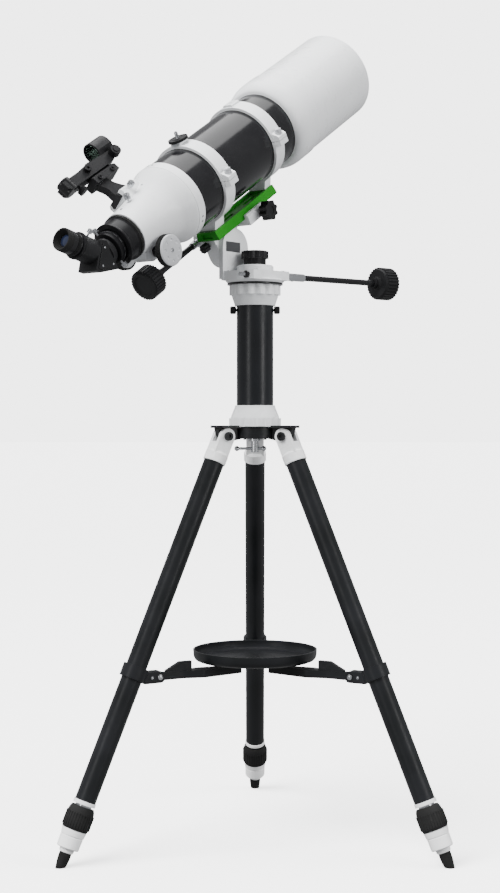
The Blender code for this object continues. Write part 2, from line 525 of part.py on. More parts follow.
def tube_rings():
    for number, middle in enumerate(TUBE_RINGS, start=1):
        back, front = middle - RING_HALF_WIDTH, middle + RING_HALF_WIDTH
        lower = half_ring(middle, -179.6, -0.4)
        foot = prism([(-16.0, BAR_TOP + 0.3), (16.0, BAR_TOP + 0.3), (24.0, -60.0), (-24.0, -60.0)],
                     "Y", max(back, BAR_BACK + 1.0), min(front, BAR_FRONT - 1.0))
        foot = cut(foot, rod(RING_INNER_R + 1.0, back - 5.0, front + 5.0, "Y", sides=LARGE))
        right = block(RING_OUTER_R - 2.5, 78.0, back + 2.0, front - 2.0, -9.0, -0.4)
        hinge_low = union(block(-75.0, -RING_OUTER_R + 2.5, back + 2.0, back + 8.0, -9.0, -0.4),
                          rod(4.6, back + 2.0, back + 8.0, "Y", (-75.0, 0.0, 0.0), SMALL))
        hinge_low = union(hinge_low, block(-75.0, -RING_OUTER_R + 2.5, front - 8.0, front - 2.0, -9.0, -0.4),
                          rod(4.6, front - 8.0, front - 2.0, "Y", (-75.0, 0.0, 0.0), SMALL),
                          rod(2.0, back + 5.0, front - 5.0, "Y", (-75.0, 0.0, 0.0), TINY))
        lower = union(lower, foot, right, hinge_low)
        lower = cut(lower, rod(2.2, -7.0, 5.0, "Z", (73.0, middle, 0.0), TINY))
        piece("tube_ring_lower_%d" % number, lower, "white_paint", TUBE, (-75.0, middle, 0.0))

        upper = half_ring(middle, 0.4, 179.6)
        lug = block(RING_OUTER_R - 2.5, 78.0, back + 2.0, front - 2.0, 0.4, 8.0)
        lug = cut(lug, rod(2.4, -5.0, 20.0, "Z", (73.0, middle, 0.0), TINY))
        knuckle = union(block(-75.0, -RING_OUTER_R + 2.5, back + 8.6, front - 8.6, 0.4, 9.0),
                        rod(4.6, back + 8.6, front - 8.6, "Y", (-75.0, 0.0, 0.0), SMALL))
        pad = block(-9.0, 9.0, back + 2.0, front - 2.0, RING_OUTER_R - 2.0, RING_OUTER_R + 3.5)
        upper = union(upper, lug, knuckle, pad)
        upper = cut(upper, rod(2.4, back, front, "Y", (-75.0, 0.0, 0.0), TINY),
                    rod(2.9, RING_OUTER_R - 1.5, RING_OUTER_R + 9.0, "Z", (0.0, middle, 0.0), TINY))
        piece("tube_ring_upper_%d" % number, upper, "white_paint", TUBE, (-75.0, middle, 0.0))

        screw = union(rod(2.1, 0.7, 12.0, "Z", (73.0, middle, 0.0), TINY),
                      rod(5.2, 8.4, 17.0, "Z", (73.0, middle, 0.0), SMALL))
        piece("ring_screw_%d" % number, screw, "silver", TUBE, (73.0, middle, 8.4))

    middle = TUBE_RINGS[0]
    stud = union(rod(2.7, RING_OUTER_R - 1.0, 86.5, "Z", (0.0, middle, 0.0), TINY),
                 moved(prism(lobed(16.0, 15.2, 20), "Z", RING_OUTER_R + 3.9, RING_OUTER_R + 8.5), 0.0, middle))
    piece("camera_bolt", stud, "black_plastic", TUBE, (0.0, middle, RING_OUTER_R + 4.0))


# ---- tube assembly ---------------------------------------------------------------------------
def tube_assembly():
    piece("main_tube", tube(TUBE_R, TUBE_BORE_R, TUBE_BACK, TUBE_FRONT, "Y", sides=LARGE), "gloss_black", TUBE)

    cell = turned([(62.8, 109.0), (65.0, 109.6), (71.0, 115.0), (75.4, 124.0), (77.0, 135.0), (77.0, 165.0),
                   (76.4, 166.6), (75.8, 166.6), (75.8, 142.6), (60.4, 142.6), (60.4, 112.4), (62.8, 112.4)],
                  "Y", sides=LARGE, closed=True)
    piece("objective_cell", cell, "white_paint", TUBE)

    front_curve = [(60.0 * math.sin(step * math.pi / 12.0), 128.0 + 7.0 * math.cos(step * math.pi / 12.0))
                   for step in range(7)]
    lens = turned([(0.0, front_curve[0][1])] + front_curve[1:] + [(60.0, 121.0), (30.0, 119.0), (0.0, 118.5)],
                  "Y", sides=LARGE)
    piece("objective_lens", lens, "glass", TUBE)

    shield = turned([(SHIELD_R, SHIELD_BACK), (SHIELD_R, SHIELD_FRONT - 1.2), (SHIELD_R - 0.9, SHIELD_FRONT),
                     (SHIELD_BORE_R, SHIELD_FRONT), (SHIELD_BORE_R, SHIELD_BACK)],
                    "Y", sides=LARGE, closed=True)
    piece("dew_shield", shield, "white_paint", TUBE, (0.0, SHIELD_BACK, 0.0))

    bell = turned([(64.0, CASTING_FRONT), (64.0, -172.0), (60.6, -177.5), (49.5, -202.0), (42.0, -228.0),
                   (37.0, CASTING_BACK), (30.4, CASTING_BACK), (30.4, -212.0), (58.0, -176.0), (62.8, -170.4),
                   (62.8, CASTING_FRONT)], "Y", sides=LARGE, closed=True)
    pinion_box = prism([(-265.0, -34.0), (-228.0, -36.0), (-226.0, -46.0), (-238.0, -53.0), (-256.0, -53.0),
                        (-270.0, -42.0)], "X", -17.0, 17.0)
    pinion_box = cut(pinion_box, rod(30.4, -300.0, -200.0, "Y", sides=LARGE))
    shoe = block(-24.0, 24.0, -233.5, -196.0, 36.0, 56.5)
    shoe.transform(Matrix.Rotation(math.radians(FINDER_PHI_DEG), 4, "Y"))
    shoe = cut(shoe, turned([(30.4, -240.0), (30.4, -212.0), (44.0, -200.0),
                             (46.0, -190.0)], "Y", sides=LARGE))
    channel = prism([(-16.6, 46.6), (16.6, 46.6), (13.4, 60.0), (-13.4, 60.0)], "Y", -260.0, -199.0)
    channel.transform(Matrix.Rotation(math.radians(FINDER_PHI_DEG), 4, "Y"))
    body = cut(union(bell, pinion_box, shoe), channel, block(-6.4, 6.4, -280.0, -205.0, -33.0, -20.0),
               rod(8.6, -11.0, 11.0, "X", (0.0, FOCUS_S, FOCUS_B), 20),
               rod(3.3, -30.0, 30.0, "X", (0.0, FOCUS_S, FOCUS_B), TINY),
               rod(2.5, 25.0, 60.0, "Z", (0.0, LOCK_SCREW_S, 0.0), TINY))
    piece("rear_casting", body, "white_paint", TUBE)

    lock = union(rod(2.1, 31.2, 47.0, "Z", (0.0, LOCK_SCREW_S, 0.0), TINY),
                 rod(4.9, 44.4, 55.0, "Z", (0.0, LOCK_SCREW_S, 0.0), SMALL))
    piece("focus_lock_screw", lock, "silver", TUBE, (0.0, LOCK_SCREW_S, 45.0))


def focuser():
    draw = turned([(DRAWTUBE_R, -196.0), (DRAWTUBE_R, -276.4), (35.2, -276.4), (36.0, -278.0), (36.0, -282.0),
                   (35.0, -283.5), (33.4, -284.0), (33.4, -303.0), (34.4, -304.0), (34.4, -306.5),
                   (25.0, -306.5), (25.0, -319.0), (16.6, -319.0), (16.6, -300.0), (DRAWTUBE_BORE_R, -298.0),
                   (DRAWTUBE_BORE_R, -196.0)], "Y", closed=True)
    rack = block(-6.0, 6.0, -276.8, -200.0, -32.4, -28.6)
    piece("drawtube", union(draw, rack), "black_anodised", TUBE, (0.0, -276.4, 0.0))

    shaft = union(rod(3.0, -47.0, 47.0, "X", (0.0, FOCUS_S, FOCUS_B), TINY),
                  prism([(FOCUS_S + y, FOCUS_B + z) for y, z in lobed(8.2, 6.6, 12)], "X", -10.4, 10.4))
    piece("focus_pinion", shaft, "silver", TUBE, (0.0, FOCUS_S, FOCUS_B))
    for number, side in ((1, 1.0), (2, -1.0)):
        wheel = turned([(0.0, 47.4), (3.3, 47.4), (3.3, 40.0), (FOCUS_WHEEL_R - 2.0, 40.0),
                        (FOCUS_WHEEL_R, 42.0), (FOCUS_WHEEL_R, 50.5), (FOCUS_WHEEL_R - 1.5, 52.5),
                        (19.5, 53.0), (0.0, 53.4)], "X", sides=24)
        if side < 0.0:
            wheel = tilted(wheel, 180.0, "Z")
        piece("focus_wheel_%d" % number, moved(wheel, 0.0, FOCUS_S, FOCUS_B), "rubber", TUBE,
              (side * 45.0, FOCUS_S, FOCUS_B))


def diagonal_and_eyepiece():
    wedge = prism([(-331.0, 21.0), (-341.0, 26.0), (-374.0, -7.0), (-367.0, -14.0), (-331.0, -26.5)],
                  "X", -19.5, 19.5)
    nose = rod(15.9, -331.5, -301.0, "Y", sides=24)
    seat = rod(19.5, -331.5, -323.0, "Y", sides=24)
    barrel = turned([(19.2, 18.0), (19.2, 46.0), (20.0, 46.5), (20.0, 51.0),
                     (16.2, 51.0), (16.2, 26.0), (0.0, 26.0)],
                    sides=24)
    barrel.transform(Matrix.Rotation(math.radians(45.0), 4, "X"))
    body = union(wedge, seat, nose, moved(barrel, 0.0, DIAGONAL_S, 0.0))
    screw = rod(3.6, 17.6, 30.0, "X", sides=TINY)
    screw.transform(Matrix.Rotation(math.radians(45.0), 4, "X") @ Matrix.Translation((0.0, 0.0, 40.0))
                    @ Matrix.Rotation(math.radians(60.0), 4, "Z"))
    body = union(body, moved(screw, 0.0, DIAGONAL_S, 0.0))
    piece("prism_diagonal", body, "black_plastic", TUBE, (0.0, -320.0, 0.0))

    eyepiece = turned([(0.0, 26.5), (15.8, 26.5), (15.8, 51.4), (17.4, 51.4), (17.4, 77.5), (16.4, 80.6),
                       (12.4, 80.6), (8.0, 74.0), (0.0, 73.0)], sides=24)
    eyepiece.transform(Matrix.Rotation(math.radians(45.0), 4, "X"))
    piece("eyepiece", moved(eyepiece, 0.0, DIAGONAL_S, 0.0), "black_plastic", TUBE,
          (0.0, DIAGONAL_S - 50.0 * math.sin(math.pi / 4.0), 50.0 * math.sin(math.pi / 4.0)))


def finder():
    foot = prism([(-16.2, 47.0), (16.2, 47.0), (13.0, 56.0), (-13.0, 56.0)], "Y", -236.0, -199.4)
    stem = prism([(-234.0, 55.0), (-201.0, 55.0), (-214.0, 74.0),
                  (-219.0, 88.0), (-242.0, 88.0), (-234.0, 72.0)],
                 "X", -7.0, 7.0)
    clamp = block(-14.0, 14.0, -246.0, -192.0, 86.0, 99.0)
    piece("finder_bracket", union(foot, stem, clamp), "black_plastic", FINDER)

    beam = prism([(-293.0, 106.0), (-287.0, 102.0), (-186.0, 102.0), (-168.0, 108.0), (-163.0, 120.0),
                  (-236.0, 121.0), (-256.0, 119.0), (-293.0, 119.0)], "X", -11.5, 11.5)
    rail = block(-8.0, 8.0, -240.0, -196.0, 99.3, 103.0)
    hood = prism(arc((0.0, 133.0), 16.5, 0.0, 180.0, 14)
                 + [(-16.5, 127.0), (-10.0, 117.0), (10.0, 117.0), (16.5, 127.0)],
                 "Y", -197.0, -165.0)
    cap = turned([(0.0, 101.0), (12.0, 101.0), (12.0, 124.0), (0.0, 124.0)], sides=20)
    body = union(beam, rail, hood, moved(cap, 0.0, -282.0, 0.0))
    body = cut(body, rod(14.0, -210.0, -150.0, "Y", (0.0, 0.0, 133.0), 28),
               rod(2.7, 5.0, 20.0, "X", (0.0, -176.0, 110.5), TINY),
               rod(2.2, 5.0, 20.0, "X", (0.0, -240.0, 113.0), TINY),
               rod(2.2, 98.0, 110.0, "Z", (0.0, -266.0, 0.0), TINY))
    piece("finder_sight", body, "black_plastic", FINDER)

    switch = union(rod(2.4, 6.0, 14.0, "X", (0.0, -176.0, 110.5), TINY),
                   rod(8.6, 12.0, 24.0, "X", (0.0, -176.0, 110.5), 20))
    piece("finder_switch", switch, "black_plastic", FINDER, (12.0, -176.0, 110.5))
    side_screw = union(rod(1.9, 6.0, 14.0, "X", (0.0, -240.0, 113.0), TINY),
                       rod(5.6, 12.0, 18.0, "X", (0.0, -240.0, 113.0), SMALL))
    piece("finder_side_screw", side_screw, "black_plastic", FINDER, (12.0, -240.0, 113.0))
    low_screw = union(rod(1.9, 92.0, 108.0, "Z", (0.0, -266.0, 0.0), TINY),
                      rod(8.0, 91.0, 98.0, "Z", (0.0, -266.0, 0.0), SMALL))
    piece("finder_low_screw", low_screw, "black_plastic", FINDER, (0.0, -266.0, 95.0))


def build():
    clear_scene()
    tripod_head()
    for index in range(LEG_COUNT):
        leg(index)
        spreader(index)
    tray()
    pillar_set()
    azimuth_part()
    saddle()
    dovetail_bar()
    tube_rings()
    tube_assembly()
    focuser()
    diagonal_and_eyepiece()
    finder()


build()
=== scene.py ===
"""The looks of a refractor telescope on an alt-azimuth mount, pillar and folding tripod.

Shapes are built in millimetres in the local frames of the mechanism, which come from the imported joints:
  TRIPOD   origin under the pillar's axis
  AZIMUTH  X sideways, Y the tube's level heading, Z up
  WORM     Y along the azimuth control
  TUBE     X sideways, Y along the optical axis, Z the tube's own up
  FINDER   the tube frame turned so that Z points at the finder
  leg      X along the leg's hinge, -Z down the leg
"""

import json
from math import atan2, cos, hypot, pi, radians, sin

import bmesh
import bpy
from mathutils import Matrix, Vector


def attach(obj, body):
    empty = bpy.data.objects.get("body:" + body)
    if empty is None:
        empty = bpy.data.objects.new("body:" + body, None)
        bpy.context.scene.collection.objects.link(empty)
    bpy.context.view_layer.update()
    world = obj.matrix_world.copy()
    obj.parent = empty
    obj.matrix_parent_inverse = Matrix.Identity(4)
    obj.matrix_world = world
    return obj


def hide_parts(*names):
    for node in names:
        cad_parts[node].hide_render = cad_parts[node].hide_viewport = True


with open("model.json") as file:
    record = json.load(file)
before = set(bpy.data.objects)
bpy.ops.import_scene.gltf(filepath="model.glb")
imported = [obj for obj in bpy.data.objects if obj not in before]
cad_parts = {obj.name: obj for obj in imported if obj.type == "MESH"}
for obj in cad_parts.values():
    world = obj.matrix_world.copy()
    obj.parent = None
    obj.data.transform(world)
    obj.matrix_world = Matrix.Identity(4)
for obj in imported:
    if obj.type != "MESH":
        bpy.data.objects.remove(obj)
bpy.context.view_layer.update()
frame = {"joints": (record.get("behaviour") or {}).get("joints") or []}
JOINTS = {joint["name"]: joint for joint in frame["joints"]}
MM = 0.001
UP = Vector((0, 0, 1))

FINE = 128          # sides of the tube and what fits it
ROUND = 72          # sides of a middling round
SMALL = 40          # sides of a small round
LEGS = (1, 2, 3)

RING_SIDE, RING_S = 75, 91       # the rear ring's hinge, in the tube frame
TUBE_RINGS = (-91, 56.5)
RING_HALF_WIDTH = 12.5
RING_OUTER_R, RING_INNER_R = 67.5, 62.9
RING_HINGE, RING_SCREW_SIDE = (-RING_SIDE, 0, 0), 73
BARREL_R, BARREL_BORE_R = 62.5, 60.5
SHIELD_R, SHIELD_BORE_R = 75.5, 74.3
DRAW_R, DRAW_BORE_R = 29.9, 26
HOOD_B, SWITCH_AT, SIDE_SCREW_AT, LOW_SCREW_S = 133, (-176, 110.5), (-240, 113), -266
BAR_TOP, BAR_BOTTOM, BAR_BACK, BAR_FRONT = -78.2, -93.2, -109, 63
FOCUS_S, FOCUS_B = -248, -41
DIAGONAL_S = -339
LOCK_SCREW_S = -241
CABLE_A, CABLE_B = -32, -97
ARM_H, ARM_HALF, ARM_W0, ARM_W1, ALT_Z = -19.6, 31.5, -32, -24, 943
TUBE_W = -35.66
BODY_Z0, BODY_Z1 = 889.5, 904
WORM_SIDE, WORM_Z = 30, 896.7
HINGE_R, HINGE_Z, HEAD_TOP_Z = 57, 642, 657
LEG_TUBE_R, LEG_TUBE_END, LOCK_START, LOCK_END = 16.2, 603, 606, 641
SPREADER_R, SPREADER_Z = 173.5, 271.7
TRAY_R, TRAY_BASE_Z, TRAY_RIM_Z = 99.3, 284, 302
RING_Z1 = 883
FOOT_R = 336
PILLAR_R, PILLAR_BORE_R, PILLAR_SCREW_Z = 29.3, 26.8, 843.3
INNER_LEG_R = 12.4
GAP = 0.3           # between pieces that touch

CAMERA_AT = (0, -2.5235, 0.6718)
LENS_MM, SENSOR_MM, LENS_SHIFT = 63, 36, (-0.0056, -0.0326)
SUN_SPREAD_DEG = 40
BACKDROP, FLOOR_GLOW, SKY = 4.2, 1.8, 0.42
GRAIN_DEPTH_M, SCRATCH_DEPTH_M, GLASS_IOR = 0.0002, 0.00005, 1.52


# ---- frames ----
def axes(x_axis, y_axis, z_axis, origin):
    matrix = Matrix.Identity(4)
    for column, axis in enumerate((x_axis, y_axis, z_axis)):
        for row in range(3):
            matrix[row][column] = axis[row]
    matrix.translation = origin
    return matrix


def direction(joint):
    return Vector(JOINTS[joint]["axis"]).normalized()


def place(joint):
    return Vector(JOINTS[joint]["pos_m"])


BASE = Vector((place("azimuth_turn").x, place("azimuth_turn").y, 0))
TRIPOD = Matrix.Translation(BASE)
SIDE = direction("altitude_tilt")
AZIMUTH = axes(SIDE, UP.cross(SIDE), UP, BASE)
CONTROL = direction("azimuth_control_turn")
WORM = axes(CONTROL.cross(UP), CONTROL, UP, BASE)
OPTICAL = direction("dew_shield_slide")
TUBE_ORIGIN = place("ring_open_1") + SIDE * RING_SIDE * MM + OPTICAL * RING_S * MM
TUBE = axes(SIDE, OPTICAL, SIDE.cross(OPTICAL), TUBE_ORIGIN)
FINDER = axes(direction("finder_switch_turn"), OPTICAL, direction("finder_low_screw_turn"), TUBE_ORIGIN)
ALTITUDE = TUBE.inverted() @ place("altitude_tilt") / MM
ALT_S, ALT_B = ALTITUDE.y, ALTITUDE.z


def leg_frame(number):
    hinge = direction(f"leg_fold_{number}")
    up = -direction(f"leg_extend_{number}")
    return axes(hinge, up.cross(hinge), up, place(f"leg_fold_{number}"))


def outward_frame(number):
    """The tripod frame turned so that X points out over this leg."""
    outward = direction(f"leg_fold_{number}").cross(UP)
    return axes(outward, UP.cross(outward), UP, BASE)


# ---- materials ----
MATERIALS = {}


def node(tree, kind, **settings):
    made = tree.nodes.new(kind)
    for key, value in settings.items():
        setattr(made, key, value)
    return made


def feed(tree, made, **values):
    """Set a node's inputs, or link those given as another node's output."""
    for name, value in values.items():
        socket = made.inputs[name.replace("_", " ")]
        if isinstance(value, bpy.types.NodeSocket):
            tree.links.new(value, socket)
        else:
            socket.default_value = value


def noise(tree, coords, scale, detail=3, stretch=None):
    made = node(tree, "ShaderNodeTexNoise")
    source = coords.outputs["Object"]
    if stretch:
        mapping = node(tree, "ShaderNodeMapping")
        feed(tree, mapping, Vector=source, Scale=stretch)
        source = mapping.outputs["Vector"]
    feed(tree, made, Scale=scale, Detail=detail, Vector=source)
    return made.outputs["Fac"]


def spread_of(tree, value, low, high, new_low, new_high):
    made = node(tree, "ShaderNodeMapRange")
    feed(tree, made, From_Min=low, From_Max=high, To_Min=new_low, To_Max=new_high, Value=value)
    return made.outputs["Result"]


def mixed(tree, factor, first, second):
    """Mix two colours; each is a colour or another node's output."""
    made = node(tree, "ShaderNodeMix", data_type="RGBA")
    tree.links.new(factor, made.inputs["Factor"])
    for name, value in (("A", first), ("B", second)):
        socket = [item for item in made.inputs if item.name == name and item.type == "RGBA"][0]
        if isinstance(value, tuple):
            socket.default_value = (*value, 1)
        else:
            tree.links.new(value, socket)
    return [item for item in made.outputs if item.type == "RGBA"][0]


def surface(name, colour, shade, roughness, vary, grain, relief, metallic=0, coat=0,
        coat_roughness=0.1, specular=0.5, flecks=None, wear=None, stretch=None, scratches=0):
    """A finish with drifting colour, uneven gloss, fine relief and, where asked, flecks, wear and scratches."""
    made = bpy.data.materials.new(name)
    made.use_nodes = True
    tree = made.node_tree
    shader = tree.nodes["Principled BSDF"]
    feed(tree, shader, Metallic=metallic, Specular_IOR_Level=specular, Coat_Weight=coat,
        Coat_Roughness=coat_roughness)
    coords = node(tree, "ShaderNodeTexCoord")
    drift = spread_of(tree, noise(tree, coords, 14, 5), 0.35, 0.65, 0, 1)
    tone = mixed(tree, drift, colour, shade)
    if flecks:
        cells = node(tree, "ShaderNodeTexVoronoi")
        scale, size, fleck_colour = flecks
        feed(tree, cells, Scale=scale, Vector=coords.outputs["Object"])
        spots = spread_of(tree, cells.outputs["Distance"], size, size * 0.6, 0, 1)
        tone = mixed(tree, spots, tone, fleck_colour)
    if wear:
        geometry = node(tree, "ShaderNodeNewGeometry")
        amount, worn_colour = wear
        edges = spread_of(tree, geometry.outputs["Pointiness"], 0.56, 0.66, 0, amount)
        patchy = spread_of(tree, noise(tree, coords, 220, 4), 0.45, 0.65, 0, 1)
        both = node(tree, "ShaderNodeMath", operation="MULTIPLY")
        tree.links.new(edges, both.inputs[0])
        tree.links.new(patchy, both.inputs[1])
        tone = mixed(tree, both.outputs["Value"], tone, worn_colour)
    gloss = spread_of(tree, noise(tree, coords, 60, 6, stretch), 0.3, 0.7, roughness - vary,
        roughness + vary)
    bump = node(tree, "ShaderNodeBump")
    feed(tree, bump, Strength=relief, Distance=GRAIN_DEPTH_M, Height=noise(tree, coords, grain, 3, stretch))
    normal = bump.outputs["Normal"]
    if scratches:
        scuffs = node(tree, "ShaderNodeBump")
        lines = noise(tree, coords, 300, 2, (1, 0.05, 1))
        feed(tree, scuffs, Strength=scratches, Distance=SCRATCH_DEPTH_M, Height=lines, Normal=normal)
        normal = scuffs.outputs["Normal"]
    feed(tree, shader, Base_Color=tone, Roughness=gloss, Normal=normal)
    MATERIALS[name] = made


def glassy(name, colour, roughness, transmission):
    """Coated optical glass with faint smears."""
    surface(name, colour, tuple(0.9 * part for part in colour), roughness, roughness * 0.5, 90, 0.01,
        coat=0.6, coat_roughness=0.02)
    tree = MATERIALS[name].node_tree
    feed(tree, tree.nodes["Principled BSDF"], Transmission_Weight=transmission, IOR=GLASS_IOR)


def make_materials():
    surface("white_paint", (0.80, 0.81, 0.82), (0.76, 0.775, 0.785), 0.30, 0.06, 900, 0.05,
        coat=0.25, coat_roughness=0.12, flecks=(420, 0.05, (0.62, 0.63, 0.63)), wear=(0.35, (0.55, 0.56,
        0.56)))
    surface("white_plastic", (0.82, 0.82, 0.82), (0.77, 0.775, 0.78), 0.42, 0.06, 1600,
        0.10, wear=(0.3, (0.6, 0.6, 0.6)))
    surface("tube_black", (0.004, 0.004, 0.005), (0.008, 0.008, 0.009), 0.17, 0.03, 700,
        0.03, specular=0.5, flecks=(2600, 0.16, (0.05, 0.05, 0.055)), scratches=0.04)
    surface("satin_black", (0.005, 0.0055, 0.006), (0.009, 0.0095, 0.011), 0.38, 0.06, 2600,
        0.12, specular=0.3, wear=(0.12, (0.03, 0.03, 0.033)), scratches=0.05)
    surface("anodised_black", (0.006, 0.006, 0.007), (0.012, 0.012, 0.013), 0.33, 0.06,
        1400, 0.08, metallic=0.3, specular=0.3, wear=(0.6, (0.20, 0.20, 0.21)), stretch=(1, 12, 1))
    surface("moulded_black", (0.006, 0.006, 0.0065), (0.011, 0.011, 0.012), 0.42, 0.08,
        3200, 0.18, specular=0.32, wear=(0.4, (0.055, 0.055, 0.057)))
    surface("glossy_plastic", (0.005, 0.005, 0.0055), (0.009, 0.009, 0.010), 0.22, 0.05,
        900, 0.05, specular=0.45, wear=(0.4, (0.06, 0.06, 0.062)))
    surface("rubber", (0.007, 0.007, 0.007), (0.014, 0.014, 0.014), 0.70, 0.10, 4200, 0.35,
        specular=0.25, wear=(0.5, (0.045, 0.045, 0.045)))
    surface("flock", (0.006, 0.006, 0.006), (0.012, 0.012, 0.012), 0.93, 0.05, 5200, 0.8,
        specular=0.1)
    surface("green_anodised", (0.014, 0.215, 0.007), (0.020, 0.26, 0.012), 0.34, 0.05,
        1200, 0.10, metallic=0.35, specular=0.3, wear=(0.7, (0.35, 0.50, 0.33)), stretch=(1, 0.08, 1))
    surface("silver", (0.70, 0.71, 0.73), (0.60, 0.61, 0.63), 0.22, 0.07, 1500, 0.10, metallic=1,
        wear=(0.4, (0.85, 0.85, 0.86)), scratches=0.15)
    surface("turned_silver", (0.74, 0.75, 0.77), (0.66, 0.67, 0.69), 0.34, 0.06, 2400, 0.20,
        metallic=0.55, stretch=(8, 1, 1), scratches=0.2)
    surface("pillar_black", (0.0045, 0.005, 0.0065), (0.008, 0.009, 0.011), 0.33, 0.05,
        1800, 0.08, specular=0.4, scratches=0.05)
    surface("plate_grey", (0.045, 0.047, 0.05), (0.06, 0.062, 0.065), 0.35, 0.05, 1800, 0.08)
    glassy("coated_glass", (0.55, 0.80, 0.66), 0.02, 0.9)
    glassy("eye_glass", (0.008, 0.012, 0.03), 0.05, 0)


# ---- solids, as bmesh in millimetres ----
def turned(profile, axis="Z", at=(0, 0, 0), sides=ROUND, closed=False):
    """Turn (radius, along) points about an axis; a closed profile makes a ring-shaped solid."""
    mesh = bmesh.new()
    rows = []
    for radius, along in profile:
        if radius == 0:
            rows.append([mesh.verts.new((0, 0, along))])
            continue
        steps = [2 * pi * step / sides for step in range(sides)]
        rows.append([mesh.verts.new((radius * cos(t), radius * sin(t), along)) for t in steps])
    pairs = list(zip(rows, rows[1:]))
    if closed:
        pairs.append((rows[-1], rows[0]))
    for first, second in pairs:
        for step in range(sides):
            after = (step + 1) % sides
            corners = [first[step % len(first)], first[after % len(first)], second[after % len(second)],
                second[step % len(second)]]
            mesh.faces.new(list(dict.fromkeys(corners)))
    for row in (rows[0], rows[-1]):
        if not closed and len(row) > 1:
            mesh.faces.new(row)
    turn = {"Z": Matrix.Identity(4), "X": Matrix.Rotation(radians(90), 4, "Y"),
        "Y": Matrix.Rotation(radians(-90), 4, "X")}[axis]
    mesh.transform(Matrix.Translation(at) @ turn)
    bmesh.ops.recalc_face_normals(mesh, faces=mesh.faces)
    return mesh


def shell(profile, axis="Z"):
    return turned(profile, axis, sides=FINE, closed=True)


def rod(radius, start, end, axis="Z", at=(0, 0, 0), sides=SMALL):
    return turned([(radius, start), (radius, end)], axis, at, sides)


def tube(outer, inner, start, end, axis="Z", at=(0, 0, 0), sides=ROUND):
    return turned([(outer, start), (outer, end), (inner, end), (inner, start)], axis, at, sides, True)


def prism(outline, axis, low, high):
    """Extrude an outline: (y, z) points along X, (x, z) along Y or (x, y) along Z."""
    place_in = "XYZ".index(axis)

    def at(point, along):
        return (*point[:place_in], along, *point[place_in:])

    mesh = bmesh.new()
    bottom = [mesh.verts.new(at(point, low)) for point in outline]
    top = [mesh.verts.new(at(point, high)) for point in outline]
    mesh.faces.new(bottom)
    mesh.faces.new(top)
    for index in range(len(outline)):
        after = (index + 1) % len(outline)
        mesh.faces.new((bottom[index], bottom[after], top[after], top[index]))
    bmesh.ops.recalc_face_normals(mesh, faces=mesh.faces)
    return mesh


def block(x0, x1, y0, y1, z0, z1):
    return prism([(x0, y0), (x1, y0), (x1, y1), (x0, y1)], "Z", z0, z1)


def mirrored(half):
    """Close an outline with the same points on the other side of its first axis."""
    return half + [(x, -y) for x, y in reversed(half)]


def ball(radius, at):
    mesh = bmesh.new()
    bmesh.ops.create_uvsphere(mesh, u_segments=32, v_segments=20, radius=radius)
    mesh.transform(Matrix.Translation(at))
    return mesh


def arc(centre, radius, start_deg, end_deg, steps):
    angles = [radians(start_deg + (end_deg - start_deg) * step / steps) for step in range(steps + 1)]
    return [(centre[0] + radius * cos(t), centre[1] + radius * sin(t)) for t in angles]


def lobed(outer, valley, lobes, steps=8, sharpness=1):
    """A round outline with evenly spaced lobes."""
    points = []
    for step in range(lobes * steps):
        angle = 2 * pi * step / (lobes * steps)
        height = (0.5 + 0.5 * cos(lobes * angle)) ** sharpness
        radius = valley + (outer - valley) * height
        points.append((radius * cos(angle), radius * sin(angle)))
    return points


def ribbed(outer, valley, ribs, share=0.55):
    """A round outline with flat-topped ribs that cover this share of it."""
    points = []
    for rib in range(ribs):
        for start, end, radius in ((0, share, outer), (share + 0.12, 0.88, valley)):
            for part in (start, end):
                angle = 2 * pi * (rib + part) / ribs
                points.append((radius * cos(angle), radius * sin(angle)))
    return points


def smooth(points, steps=6):
    """A Catmull-Rom curve through the points."""
    ends = [points[0]] + list(points) + [points[-1]]
    made = []
    for a, b, c, d in zip(ends, ends[1:], ends[2:], ends[3:]):
        for step in range(steps):
            t = step / steps
            made.append(tuple(0.5 * (2 * q + (r - p) * t + (2 * p - 5 * q + 4 * r - w) * t ** 2
                + (3 * q - p - 3 * r + w) * t ** 3) for p, q, r, w in zip(a, b, c, d)))
    return made + [tuple(points[-1])]


def moved(mesh, x=0, y=0, z=0):
    mesh.transform(Matrix.Translation((x, y, z)))
    return mesh


def tilted(mesh, degrees, axis):
    mesh.transform(Matrix.Rotation(radians(degrees), 4, axis))
    return mesh


def put(mesh, matrix):
    mesh.transform(matrix)
    return mesh


def raw_object(name, mesh):
    data = bpy.data.meshes.new(name)
    mesh.to_mesh(data)
    mesh.free()
    item = bpy.data.objects.new(name, data)
    bpy.context.scene.collection.objects.link(item)
    return item


def combine(base, other, operation):
    first = raw_object("first", base)
    second = raw_object("second", other)
    modifier = first.modifiers.new("combine", "BOOLEAN")
    modifier.operation = operation
    modifier.solver = "EXACT"
    modifier.object = second
    result = bmesh.new()
    result.from_object(first, bpy.context.evaluated_depsgraph_get())
    bpy.data.objects.remove(first, do_unlink=True)
    bpy.data.objects.remove(second, do_unlink=True)
    bmesh.ops.remove_doubles(result, verts=result.verts, dist=0.002)
    return result


def union(base, *others):
    for other in others:
        base = combine(base, other, "UNION")
    return base


def cut(base, *others):
    for other in others:
        base = combine(base, other, "DIFFERENCE")
    return base


